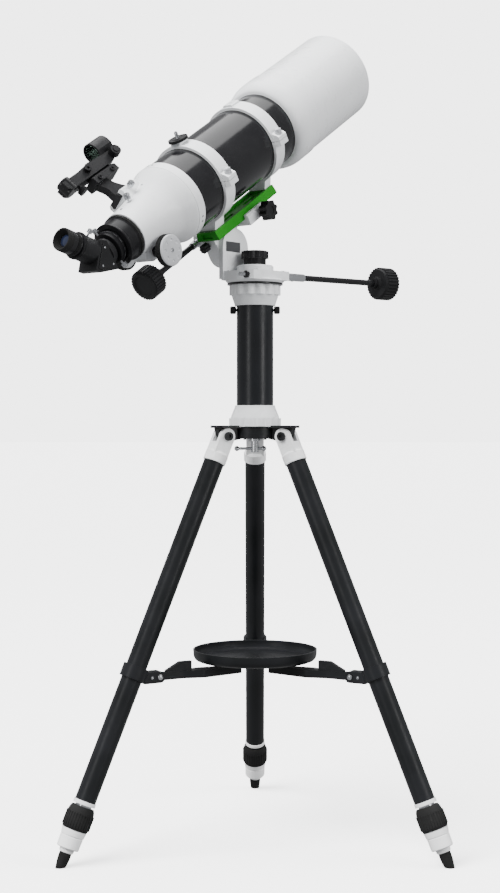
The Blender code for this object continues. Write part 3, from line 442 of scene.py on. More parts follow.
def piece(name, mesh, finish, local, body, stands_for=(), bevel=0.4, origin=(0, 0, 0), segments=2):
    """One visible piece: a solid in millimetres of its frame, its edges rounded, riding on a body."""
    mesh.transform(Matrix.Translation(-Vector(origin)))
    mesh.transform(Matrix.Scale(MM, 4))
    item = raw_object(name, mesh)
    item.data.materials.append(MATERIALS[finish])
    item.data.shade_smooth()
    item.matrix_world = local @ Matrix.Translation(Vector(origin) * MM)
    if bevel:
        rounding = item.modifiers.new("edges", "BEVEL")
        rounding.width = bevel * MM
        rounding.segments = segments
        rounding.limit_method = "ANGLE"
        rounding.angle_limit = radians(32)
        item.modifiers.new("normals", "WEIGHTED_NORMAL").keep_sharp = True
    else:
        item.data.set_sharp_from_angle(angle=radians(40))
    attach(item, body)
    if stands_for:
        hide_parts(*stands_for)
    return item


# ---- screws and knobs ----
def socket_screw(radius, height, socket, start=0):
    """A round head on Z with a hexagonal socket in its top."""
    head = turned([(0, start), (radius, start), (radius, start + height), (0, start + height)], sides=SMALL)
    hexagon = arc((0, 0), socket, 0, 300, 5)
    return cut(head, prism(hexagon, "Z", start + height * 0.35, start + height + 2))


def dome(radius, height, start=0):
    """A rounded profile on Z, from the rim up to its top at the axis."""
    angles = [radians(t) for t in range(0, 90, 15)]
    return [(radius * cos(t), start + height * sin(t)) for t in angles] + [(0, start + height)]


def cross_screw(radius, height):
    """A domed head on Z with a cross recess."""
    head = turned([(0, -0.6), (radius, -0.6)] + dome(radius, height), sides=32)
    arm = radius * 0.62
    slot = radius * 0.14
    return cut(head, block(-arm, arm, -slot, slot, height * 0.35, height + 1), block(-slot, slot, -arm,
        arm, height * 0.35, height + 1))


def thumb_screw(radius, height, stem, stem_length):
    """A knurled head on Z over its stem, the stem's end at zero."""
    end = stem_length + height
    knurl = prism(ribbed(radius, radius - 0.5, 28, 0.4), "Z", stem_length, end)
    rim = turned([(0, end - 0.2), (radius - 0.9, end - 0.2), (radius - 1.4, end + 0.9), (0, end + 0.9)],
        sides=SMALL)
    return union(knurl, rod(stem, 0, stem_length + 0.4, sides=24), rim)


def grip_knob(radius, length, ribs, neck, neck_length):
    """A big ribbed control knob on Z: neck, shoulder, ribbed rim and a dished end."""
    end = neck_length + length
    grip = prism(ribbed(radius, radius - 1.5, ribs), "Z", neck_length + 3, end - 3)
    core = turned([(0, 0), (neck, 0), (neck, neck_length - 3), (neck + 3, neck_length), (radius - 4,
        neck_length), (radius - 1.7, neck_length + 3.4), (radius - 1.7, end - 3.4), (radius - 4, end),
        (radius - 8, end), (radius - 9.5, end - 2.2), (0, end - 2.2)])
    return union(core, grip)


def facing(x_axis, at):
    """The matrix that stands a solid's Z axis along this direction, at this place."""
    turn = Vector((0, 0, 1)).rotation_difference(Vector(x_axis)).to_matrix().to_4x4()
    return Matrix.Translation(at) @ turn


# ---- optical tube ----
def tube_and_cell():
    piece("main_tube_barrel", tube(BARREL_R, BARREL_BORE_R, -170, 112, "Y", sides=FINE), "tube_black",
        TUBE, "ota", ["main_tube"], 0.3)
    for number, (along, bore) in enumerate(((-30, 49), (-110, 38)), start=1):
        piece(f"baffle_{number}", tube(60.2, bore, along, along + 1.5, "Y", sides=FINE), "flock", TUBE,
            "ota")

    shoulder = [(65 + 12 * sin(radians(t)), 136 - 26.4 * cos(radians(t))) for t in range(0, 91, 6)]
    cell = shell([(62.8, 109)] + shoulder + [(77, 165.4), (76.2, 166.6), (75.8, 166.6), (75.8, 142.6),
        (60.4, 142.6), (60.4, 112.4), (62.8, 112.4)], "Y")
    piece("objective_collar", cell, "white_paint", TUBE, "ota", ["objective_cell"], 0.35)
    piece("lens_retainer", tube(60.2, 57.2, 131.4, 138, "Y", sides=FINE), "anodised_black", TUBE, "ota")

    steps = [pi * step / 40 for step in range(1, 21)]
    front = [(60 * sin(t), 128 + 7 * cos(t)) for t in steps]
    seam = [(radius, along - 4) for radius, along in front]
    crown = turned([(0, 135)] + front + seam[::-1] + [(0, 131)], "Y", sides=FINE)
    piece("crown_lens", crown, "coated_glass", TUBE, "ota", ["objective_lens"], 0)
    inner = [(radius, along - 0.4) for radius, along in seam]
    flint = turned([(0, 130.6)] + inner + [(60, 121), (30, 119), (0, 118.5)], "Y", sides=FINE)
    piece("flint_lens", flint, "coated_glass", TUBE, "ota", [], 0)

    shield = tube(SHIELD_R, SHIELD_BORE_R, 143, 335.4, "Y", sides=FINE)
    piece("dew_shield_shell", shield, "white_paint", TUBE, "dew_shield", ["dew_shield"], 0.5, segments=3)
    piece("dew_shield_lining", tube(74.2, 73.7, 143.4, 334.2, "Y", sides=FINE), "flock", TUBE,
        "dew_shield", [], 0)


def rear_casting():
    curve = smooth([(63.2, -174.4), (61.3, -178.5), (56.6, -187.5), (49.5, -202), (42.3, -228),
        (38.3, -255), (37, -276)], 5)
    bell = shell([(64, -156.3), (64, -172.2), (63.2, -172.6)] + curve + [(30.4, -276), (30.4, -212),
        (58, -176), (62.8, -170.4), (62.8, -156.3)], "Y")
    wedge = prism([(-266, -34), (-226, -34), (-226, -46), (-238, -53), (-256, -53), (-270, -42)], "X", -17,
        17)
    wedge = cut(wedge, rod(30.4, -300, -200, "Y", sides=FINE))
    to_tube = TUBE.inverted() @ FINDER
    to_tube.translation = (0, 0, 0)
    shoe = prism([(-24, 34), (-24, 53), (-20, 56.5), (20, 56.5), (24, 53), (24, 34)], "Y", -233.5, -196)
    shoe = cut(put(shoe, to_tube), turned([(30.4, -240), (30.4, -212), (44, -200), (46, -190)], "Y"))
    channel = put(prism([(-16.6, 46.6), (16.6, 46.6), (13.4, 60), (-13.4, 60)], "Y", -260, -190), to_tube)
    body = cut(union(bell, wedge, shoe), channel, block(-6.4, 6.4, -280, -205, -33, -20), rod(8.6, -11, 11,
        "X", (0, FOCUS_S, FOCUS_B)), rod(3.3, -30, 30, "X", (0, FOCUS_S, FOCUS_B)), rod(2.5, 25, 60, "Z",
        (0, LOCK_SCREW_S, 0)))
    piece("focuser_housing", body, "white_paint", TUBE, "ota", ["rear_casting"], 0.7, segments=3)

    for number, (along, radius) in enumerate(((-202, 49.4), (-262, 37.7)), start=1):
        screw = moved(socket_screw(2.1, 1.2, 1.1), 0, along, radius - 0.6)
        piece(f"housing_set_screw_{number}", screw, "silver", TUBE, "ota", [], 0.15)
    angles = (-9, -1, 115, 123, 236, 244)
    for number, angle in enumerate(angles, start=1):
        screw = tilted(moved(cross_screw(2, 0.9), 0, -164, 63.8), angle, "Y")
        piece(f"band_screw_{number}", screw, "silver", TUBE, "ota", [], 0)
    corners = [(side, along) for side in (-11, 11) for along in (-241, -253)]
    for number, (side, along) in enumerate(corners, start=1):
        screw = put(cross_screw(2.3, 1), facing((0, 0, -1), (side, along, -53)))
        piece(f"pinion_cover_screw_{number}", screw, "silver", TUBE, "ota", [], 0)
    shoe_screw = put(thumb_screw(5.2, 7.5, 1.9, 5.5), facing((1, 0, 0), (24, -220, 50)))
    piece("finder_shoe_screw", shoe_screw, "silver", FINDER, "ota", [], 0.25)

    lock = moved(thumb_screw(4.9, 8, 2.1, 13.5), 0, LOCK_SCREW_S, 31.2)
    piece("focus_lock_thumbscrew", lock, "silver", TUBE, "focus_lock", ["focus_lock_screw"], 0.25,
        (0, LOCK_SCREW_S, 45))


def focuser():
    barrel = tube(DRAW_R, DRAW_BORE_R, -196, -277, "Y", sides=FINE)
    rack = block(-6, 6, -276.8, -200, -32.4, -28.6)
    for tooth in range(29):
        along = -202 - 2.58 * tooth
        rack = cut(rack, prism([(along, -31), (along - 1.3, -34), (along + 1.3, -34)], "X", -10, 10))
    piece("drawtube_barrel", barrel, "anodised_black", TUBE, "drawtube", ["drawtube"], 0.3)
    piece("focus_rack", rack, "silver", TUBE, "drawtube", [], 0.1)
    collar = prism(ribbed(36, 35.3, 110, 0.45), "Y", -282.6, -277.4)
    piece("focus_collar", cut(collar, rod(30.2, -300, -270, "Y")), "rubber", TUBE, "drawtube", [], 0)
    rear = shell([(35, -282.9), (33.9, -284.6), (33.4, -285.2), (33.4, -302.6), (34.4, -303.6),
        (34.4, -306.5), (28, -306.9), (26, -306.5), (26, -282.9)], "Y")
    piece("drawtube_rear", rear, "anodised_black", TUBE, "drawtube", [], 0.35)
    adapter = tube(25, 16.6, -319, -301, "Y")
    adapter = union(adapter, tube(25.9, 20, -310.6, -308.4, "Y"))
    piece("eyepiece_adapter", adapter, "anodised_black", TUBE, "drawtube", [], 0.5)
    for number, angle in enumerate((-28, 150), start=1):
        screw = tilted(moved(thumb_screw(4.2, 6.5, 1.7, 5), 0, -314.6, 24.2), angle, "Y")
        piece(f"adapter_thumbscrew_{number}", screw, "silver", TUBE, "drawtube", [], 0.2)

    shaft = union(rod(3, -47, 47, "X"), prism(lobed(8.2, 6.6, 14), "X", -10.4, 10.4))
    piece("focus_shaft", moved(shaft, 0, FOCUS_S, FOCUS_B), "silver", TUBE, "focus", ["focus_pinion"],
        0.15, (0, FOCUS_S, FOCUS_B))
    for number, side in ((1, 1), (2, -1)):
        centre = Vector((0, FOCUS_S, FOCUS_B))
        out = facing((side, 0, 0), centre)
        rim = cut(prism(ribbed(24.5, 23.7, 72), "Z", 40.4, 49.6), rod(21.4, 30, 60, sides=ROUND))
        piece(f"focus_rim_{number}", put(rim, out), "rubber", TUBE, "focus", [f"focus_wheel_{number}"],
            0.3, tuple(centre))
        face = turned([(0, 40.8), (21.2, 40.8), (21.2, 49.8), (23.6, 50.2), (23.6, 51.6), (22.6, 52.6),
            (19.5, 53.2), (0, 53.4)], sides=FINE)
        for hole in range(8):
            turn = radians(hole * 45 + 22.5)
            face = cut(face, ball(3.1, (15.5 * cos(turn), 15.5 * sin(turn), 55)))
        piece(f"focus_face_{number}", put(face, out), "turned_silver", TUBE, "focus", [], 0.2,
            tuple(centre))
        screw = put(moved(cross_screw(3.6, 1.3), 0, 0, 53.5), out)
        piece(f"focus_wheel_screw_{number}", screw, "silver", TUBE, "focus", [], 0, tuple(centre))
        hub = put(turned([(3.4, 20), (8.5, 20), (7.5, 39.5), (3.4, 39.5)], sides=SMALL, closed=True), out)
        piece(f"focus_hub_{number}", hub, "anodised_black", TUBE, "ota", [], 0.4)


def diagonal_and_eyepiece():
    wedge = prism([(-331.5, 20), (-341, 26), (-374, -7), (-366, -14), (-331.5, -26.5)], "X", -18.4, 18.4)
    nose = rod(15.9, -331.8, -301, "Y", sides=ROUND)
    seat = rod(20.5, -331.9, -322.5, "Y", sides=ROUND)
    bent = Matrix.Translation((0, DIAGONAL_S, 0)) @ Matrix.Rotation(radians(45), 4, "X")
    barrel = put(turned([(19.2, 17), (19.2, 45), (20.2, 46), (20.2, 51), (16.2, 51), (16.2, 26), (0, 26)]),
        bent)
    body = union(wedge, seat, nose, barrel)
    piece("diagonal_body", body, "moulded_black", TUBE, "diagonal", ["prism_diagonal"], 1, (0, -320, 0), 3)
    panel = [(-334, 16), (-341.5, 20.5), (-368, -6.5), (-362.5, -11.5), (-334, -21.5)]
    for number, side in ((1, 1), (2, -1)):
        low, high = sorted((side * 18.2, side * 19.7))
        piece(f"diagonal_panel_{number}", prism(panel, "X", low, high), "glossy_plastic", TUBE, "diagonal",
            [], 0.6, segments=3)
        for screw_number, (along, up) in enumerate(((-341, 13.5), (-358.5, -7.5), (-338, -15)), start=1):
            screw = put(cross_screw(1.7, 0.7), facing((side, 0, 0), (side * 19.7, along, up)))
            piece(f"diagonal_screw_{number}_{screw_number}", screw, "silver", TUBE, "diagonal", [], 0)
    turn = bent @ Matrix.Translation((0, 0, 40)) @ Matrix.Rotation(radians(60), 4, "Z")
    screw = put(put(thumb_screw(4, 6, 1.6, 5.2), facing((1, 0, 0), (18.8, 0, 0))), turn)
    piece("diagonal_thumbscrew", screw, "silver", TUBE, "diagonal", [], 0.2)
    for number, along in enumerate((47.4, 49.2), start=1):
        ring = put(tube(20.6, 19.4, along, along + 0.9), bent)
        piece(f"diagonal_ring_{number}", ring, "glossy_plastic", TUBE, "diagonal", [], 0.2)

    spin = (0, DIAGONAL_S - 50 * sin(pi / 4), 50 * sin(pi / 4))
    body = turned([(0, 26.5), (15.8, 26.5), (15.8, 51.4), (17.4, 51.4), (17.4, 53.5), (16.9, 54.2),
        (16.9, 61), (17.4, 61.6), (17.4, 70), (14.6, 71), (9.2, 71.4), (9.2, 70.6), (0, 70.6)])
    piece("eyepiece_body", put(body, bent), "glossy_plastic", TUBE, "eyepiece", ["eyepiece"], 0.3, spin)
    knurl = cut(prism(ribbed(17.35, 16.9, 80, 0.5), "Z", 54.8, 60.4), rod(16.5, 50, 65, sides=ROUND))
    piece("eyepiece_knurl", put(knurl, bent), "rubber", TUBE, "eyepiece", [], 0, spin)
    cup = turned([(15.2, 70.2), (17.4, 70.2), (17.4, 78), (16.9, 80), (15.8, 80.6), (14.6, 80), (12.2, 76),
        (10, 72), (15.2, 71.6)], closed=True)
    piece("eyecup", put(cup, bent), "rubber", TUBE, "eyepiece", [], 0.4, spin, 3)
    front = [(9 * sin(radians(t)), 70.8 + 2.4 * cos(radians(t))) for t in range(9, 91, 9)]
    piece("eye_lens", put(turned([(0, 73.2)] + front + [(0, 70.8)]), bent), "eye_glass", TUBE, "eyepiece",
        [], 0, spin)


def finder():
    foot = prism([(-16.2, 47), (16.2, 47), (13.2, 56), (-13.2, 56)], "Y", -236, -199.4)
    stem = prism([(-234, 54.5), (-201, 54.5)] + smooth([(-201.6, 58), (-210, 68), (-216, 77), (-219, 88)],
        4) + [(-242, 88)] + smooth([(-239, 80), (-234.5, 71), (-234, 60)], 4), "X", -7, 7)
    clamp = prism([(-14, 86), (14, 86), (14, 96), (11, 99), (-11, 99), (-14, 96)], "Y", -246, -192)
    piece("finder_stalk", union(foot, stem, clamp), "moulded_black", FINDER, "ota", ["finder_bracket"],
        0.8, segments=3)
    for number, along in enumerate((-234, -204), start=1):
        screw = put(socket_screw(3.9, 2.2, 2), facing((1, 0, 0), (14, along, 91.5)))
        piece(f"finder_clamp_screw_{number}", screw, "anodised_black", FINDER, "ota", [], 0.25)

    beam = prism([(-293, 106), (-287, 102), (-186, 102), (-168, 108), (-163, 120), (-236, 121),
        (-256, 119), (-293, 119)], "X", -11.5, 11.5)
    rail = prism([(-8, 99.3), (8, 99.3), (6, 103), (-6, 103)], "Y", -240, -196)
    hood = prism(arc((0, 133), 16.5, 0, 180, 48) + [(-16.5, 127), (-10, 117), (10, 117), (16.5, 127)], "Y",
        -197, -165)
    body = cut(union(beam, rail, hood), rod(14, -210, -150, "Y", (0, 0, HOOD_B), ROUND), rod(2.7, 5, 20,
        "X", (0, *SWITCH_AT)), rod(2.2, 5, 20, "X", (0, *SIDE_SCREW_AT)), rod(2.2, 98, 110, "Z",
        (0, LOW_SCREW_S, 0)))
    piece("finder_body", body, "moulded_black", FINDER, "ota", ["finder_sight"], 1, segments=3)
    pane = turned([(0, -170), (14.2, -169), (14.2, -170.6), (0, -171.6)], "Y", (0, 0, HOOD_B))
    piece("finder_window", pane, "coated_glass", FINDER, "ota", [], 0)
    cap = turned([(0, 101), (11.4, 101), (12, 102), (12, 122.4), (10.4, 124), (0, 124)])
    cap = cut(cap, rod(2.2, 98, 110, "Z", (0, 16, 0)))
    piece("finder_battery_cap", moved(cap, 0, -282, 0), "glossy_plastic", FINDER, "ota", [], 0.6,
        segments=3)
    seam = moved(tube(12.15, 11, 112, 113), 0, -282, 0)
    piece("finder_cap_seam", seam, "rubber", FINDER, "ota", [], 0)
    lamp = prism([(-228, 120), (-214, 120), (-217, 125), (-226, 125)], "X", -4, 4)
    piece("finder_lamp", lamp, "moulded_black", FINDER, "ota", [], 0.6)

    centre = (0, *SWITCH_AT)
    out = facing((1, 0, 0), centre)
    dial = union(rod(2.4, 6, 14), cut(prism(ribbed(8.6, 8.1, 36), "Z", 12, 22.4), rod(5.4, 21.6, 30)),
        rod(4.6, 20, 23.6))
    piece("finder_switch_knob", put(dial, out), "moulded_black", FINDER, "finder_switch",
        ["finder_switch"], 0.25, (12, *SWITCH_AT))
    out = facing((1, 0, 0), (0, *SIDE_SCREW_AT))
    adjuster = union(rod(1.9, 6, 14), cut(prism(ribbed(5.6, 5.1, 24), "Z", 12, 18), prism(arc((0, 0), 2.4,
        0, 300, 5), "Z", 15.5, 20)))
    piece("finder_side_adjuster", put(adjuster, out), "anodised_black", FINDER, "finder_side_screw",
        ["finder_side_screw"], 0.25, (12, *SIDE_SCREW_AT))
    wheel = union(rod(1.9, 92, 108), prism(ribbed(8, 7.4, 30), "Z", 91, 98))
    piece("finder_low_adjuster", moved(wheel, 0, LOW_SCREW_S, 0), "moulded_black", FINDER,
        "finder_low_screw", ["finder_low_screw"], 0.3, (0, LOW_SCREW_S, 95))


# ---- rings, bar and saddle ----
def half_ring(middle, low_deg, high_deg, outer=RING_OUTER_R, inner=RING_INNER_R, half=RING_HALF_WIDTH):
    outline = arc((0, 0), outer, low_deg, high_deg, 64) + arc((0, 0), inner, high_deg, low_deg, 64)
    return prism(outline, "Y", middle - half, middle + half)


def hinge_barrel(start, end, low, high):
    return union(block(-75, -RING_OUTER_R + 2.5, start, end, low, high), rod(4.6, start, end, "Y",
        RING_HINGE))


def tube_rings():
    for number, middle in enumerate(TUBE_RINGS, start=1):
        back, front = middle - RING_HALF_WIDTH, middle + RING_HALF_WIDTH
        lower = half_ring(middle, -179.6, -0.4)
        foot = prism([(-16, BAR_TOP + GAP), (16, BAR_TOP + GAP), (24, -60), (-24, -60)], "Y",
            max(back, BAR_BACK + 1), min(front, BAR_FRONT - 1))
        foot = cut(foot, rod(RING_INNER_R + 1, back - 5, front + 5, "Y", sides=FINE))
        right = block(RING_OUTER_R - 2.5, 78, back + 2, front - 2, -9, -0.4)
        ears = [hinge_barrel(start, start + 6, -9, -0.4) for start in (back + 2, front - 8)]
        lower = union(lower, foot, right, *ears, rod(2, back + 5, front - 5, "Y", RING_HINGE))
        lower = cut(lower, rod(2.2, -7, 5, "Z", (RING_SCREW_SIDE, middle, 0)))
        piece(f"ring_lower_half_{number}", lower, "white_paint", TUBE, "ota",
            [f"tube_ring_lower_{number}"], 0.7, segments=3)

        lug = prism([(RING_OUTER_R - 2.5, 0.4), (78, 0.4), (78, 6), (75.5, 8), (RING_OUTER_R - 2.5, 14)],
            "Y", back + 2, front - 2)
        lug = cut(lug, rod(2.4, -5, 20, "Z", (RING_SCREW_SIDE, middle, 0)), rod(6, 8.3, 22, "Z",
            (RING_SCREW_SIDE, middle, 0)), rod(RING_INNER_R + 1, back - 5, front + 5, "Y", sides=FINE))
        pad = prism([(-9, RING_OUTER_R - 2), (9, RING_OUTER_R - 2), (9, RING_OUTER_R + 2.3),
            (7.8, RING_OUTER_R + 3.5), (-7.8, RING_OUTER_R + 3.5), (-9, RING_OUTER_R + 2.3)], "Y",
            back + 2, front - 2)
        upper = union(half_ring(middle, 0.4, 179.6), lug, hinge_barrel(back + 8.6, front - 8.6, 0.4, 9),
            pad)
        upper = cut(upper, rod(2.4, back, front, "Y", RING_HINGE), rod(2.9, RING_OUTER_R - 1.5,
            RING_OUTER_R + 9, "Z", (0, middle, 0)))
        body = f"ring_upper_{number}"
        piece(f"ring_upper_half_{number}", upper, "white_paint", TUBE, body, [f"tube_ring_upper_{number}"],
            0.7, (-RING_SIDE, middle, 0), 3)
        for name, rides, angles in (("lower", "ota", (-179.4, -0.6)), ("upper", body, (0.6, 179.4))):
            felt = half_ring(middle, *angles, outer=62.88, inner=62.6, half=RING_HALF_WIDTH + 0.8)
            piece(f"ring_felt_{name}_{number}", felt, "flock", TUBE, rides, [], 0)

        screw = moved(thumb_screw(5.2, 8, 2.1, 7.9), 73, middle, 0.7)
        piece(f"ring_clamp_screw_{number}", screw, "turned_silver", TUBE, f"ring_screw_{number}",
            [f"ring_screw_{number}"], 0.3, (RING_SCREW_SIDE, middle, 8.4))

    middle = TUBE_RINGS[0]
    disc = prism(ribbed(16, 15.3, 34, 0.5), "Z", RING_OUTER_R + 3.9, RING_OUTER_R + 8.3)
    disc = cut(disc, tube(13.4, 8, RING_OUTER_R + 7.6, RING_OUTER_R + 12, sides=SMALL))
    disc = cut(disc, rod(3.4, 60, 90))
    piece("camera_bolt_disc", moved(disc, 0, middle), "moulded_black", TUBE, "camera_bolt",
        ["camera_bolt"], 0.35, (0, middle, RING_OUTER_R + 4))
    pitch = 1.27
    thread = [(0, RING_OUTER_R - 1), (2.7, RING_OUTER_R - 1)]
    for turn in range(14):
        low = RING_OUTER_R + pitch * turn
        thread += [(3.1, low), (2.7, low + 0.5 * pitch)]
    piece("camera_bolt_stud", moved(turned(thread + [(2, 86.4), (0, 86.6)], sides=SMALL), 0, middle),
        "silver", TUBE, "camera_bolt", [], 0)


def dovetail_bar():
    bar = prism([(-19, BAR_TOP), (19, BAR_TOP), (22.3, BAR_BOTTOM + 3), (22.3, BAR_BOTTOM),
        (-22.3, BAR_BOTTOM), (-22.3, BAR_BOTTOM + 3)], "Y", BAR_BACK, BAR_FRONT)
    low = max(TUBE_RINGS[0] + 15, BAR_BACK)
    high = TUBE_RINGS[1] - 15
    groove = block(-14, 14, low, high, BAR_TOP - 4, BAR_TOP + 5)
    slots = [union(block(-3.3, 3.3, start, start + 26, -110, 0), rod(3.3, -110, 0, "Z", (0, start, 0)),
        rod(3.3, -110, 0, "Z", (0, start + 26, 0))) for start in (low + 14, high - 40)]
    end = block(-10, 10, BAR_BACK - 1, BAR_BACK + 2.5, BAR_BOTTOM + 3.5, BAR_TOP - 3.5)
    piece("vixen_bar", cut(bar, groove, end, *slots), "green_anodised", TUBE, "ota", ["dovetail_bar"], 0.6,
        segments=3)
    for number, (middle, side) in enumerate(((TUBE_RINGS[0], -1), (TUBE_RINGS[0], 1), (TUBE_RINGS[1], 0)),
            start=1):
        screw = put(socket_screw(4.6, 3.6, 2.5), facing((0, 0, -1), (7 * side, middle, BAR_BOTTOM + 3.4)))
        piece(f"bar_screw_{number}", screw, "silver", TUBE, "ota", [], 0.25)


def saddle():
    top = BAR_BOTTOM - GAP
    low = top - 11
    back = ARM_W0 - TUBE_W - 0.4
    hub = rod(30, -22, back, "X", (0, ALT_S, ALT_B), FINE)
    riser = block(-22, back, ALT_S - 30, ALT_S + 30, ALT_B, top)
    plate = block(-30, 30, ALT_S + 33.5, 14, low, top)
    back_plate = block(-30, back, ALT_S - 32, ALT_S + 36, low, top)
    left_jaw = block(-30, -22.6, ALT_S - 32, 14, low, BAR_BOTTOM + 7)
    right_jaw = prism([(22.6, low), (30, low), (30, BAR_BOTTOM + 4), (27, BAR_BOTTOM + 7),
        (22.6, BAR_BOTTOM + 7)], "Y", ALT_S + 33.5, 14)
    housing = prism([(-42, CABLE_B - 8), (-39, CABLE_B - 11), (-24, CABLE_B - 11), (-24, CABLE_B + 9),
        (-39, CABLE_B + 9), (-42, CABLE_B + 6)], "Y", -96, -40)
    body = cut(union(hub, riser, plate, back_plate, left_jaw, right_jaw, housing), rod(8.2, -16, 20, "X",
        (0, ALT_S, ALT_B)), rod(5, -120, -46, "Y", (CABLE_A, 0, CABLE_B)), rod(2.6, 15, 40, "X",
        (0, 2, low + 7)), rod(2.6, -140, ALT_S - 22, "Y", (-12, 0, -104)))
    piece("saddle_casting", body, "white_paint", TUBE, "ota", ["altitude_saddle"], 1, segments=3)
    pivot = rod(8, -15.7, ARM_W1 - TUBE_W - 3, "X", (0, ALT_S, ALT_B), ROUND)
    piece("altitude_pivot_pin", pivot, "silver", TUBE, "ota", ["altitude_pivot"], 0.4)
    cap = turned([(0, -24.4), (13, -24.2), (15, -22.6), (15, -21.6), (0, -21.6)], "X", (0, ALT_S, ALT_B))
    piece("altitude_cap", cap, "moulded_black", TUBE, "ota", [], 0.3)

    centre = (0, 2, low + 7)
    knob = union(rod(2.3, 18, 40), turned([(0, 30.3), (6.5, 30.3), (7.5, 36.4), (0, 36.4)]),
        prism(lobed(16.5, 13.2, 8, 12), "Z", 36, 50.4))
    knob = cut(knob, turned([(0, 49.2), (6.4, 49.2), (6.9, 51.5), (0, 51.5)]))
    piece("saddle_clamp_knob", put(knob, facing((1, 0, 0), centre)), "moulded_black", TUBE, "saddle_knob",
        ["saddle_knob"], 1, (40, 2, low + 7), 3)
    tension = put(union(rod(2.3, 23 - ALT_S, 118), prism(lobed(7.6, 6.2, 8, 10), "Z", 104, 116.6)),
        facing((0, -1, 0), (-12, 0, -104)))
    piece("altitude_tension_grip", tension, "moulded_black", TUBE, "altitude_tension",
        ["altitude_tension_knob"], 0.7, (-12, -110, -104), 3)
    back_out = facing((0, -1, 0), (CABLE_A, 0, CABLE_B))
    slow_motion("altitude", back_out, TUBE, (CABLE_A, -222, CABLE_B), 47, 101.2, 116, 210, 25, 30)


def slow_motion(axis, out, local, origin, start, collar, shaft, knob, radius, length):
    """A flexible control: worm stub, steel collar with its screw, sleeved shaft and big ribbed knob."""
    body = axis + "_control"
    piece(axis + "_worm_stub", put(rod(4.4, start, collar + 1), out), "silver", local, body, [body], 0.3,
        origin)
    sleeve = turned([(0, collar), (6.2, collar), (6.2, shaft), (0, shaft)], sides=SMALL)
    piece(axis + "_control_collar", put(sleeve, out), "silver", local, body, [], 0.4, origin)
    screw = put(put(cross_screw(2.4, 1.1), facing((0, 1, 0), (0, 6, 0.6 * collar + 0.4 * shaft))), out)
    piece(axis + "_collar_screw", screw, "silver", local, body, [], 0, origin)
    cable = turned([(0, shaft - 6), (4.8, shaft - 6), (4.8, knob - 10), (5.8, knob - 8.6), (5.8, knob + 1),
        (0, knob + 1)], sides=SMALL)
    piece(axis + "_control_shaft", put(cable, out), "glossy_plastic", local, body, [], 0.3, origin)
    grip = put(moved(grip_knob(radius, length, 30, 8.8, 10), 0, 0, knob), out)
    piece(axis + "_control_knob", grip, "moulded_black", local, body, [], 0.4, origin)


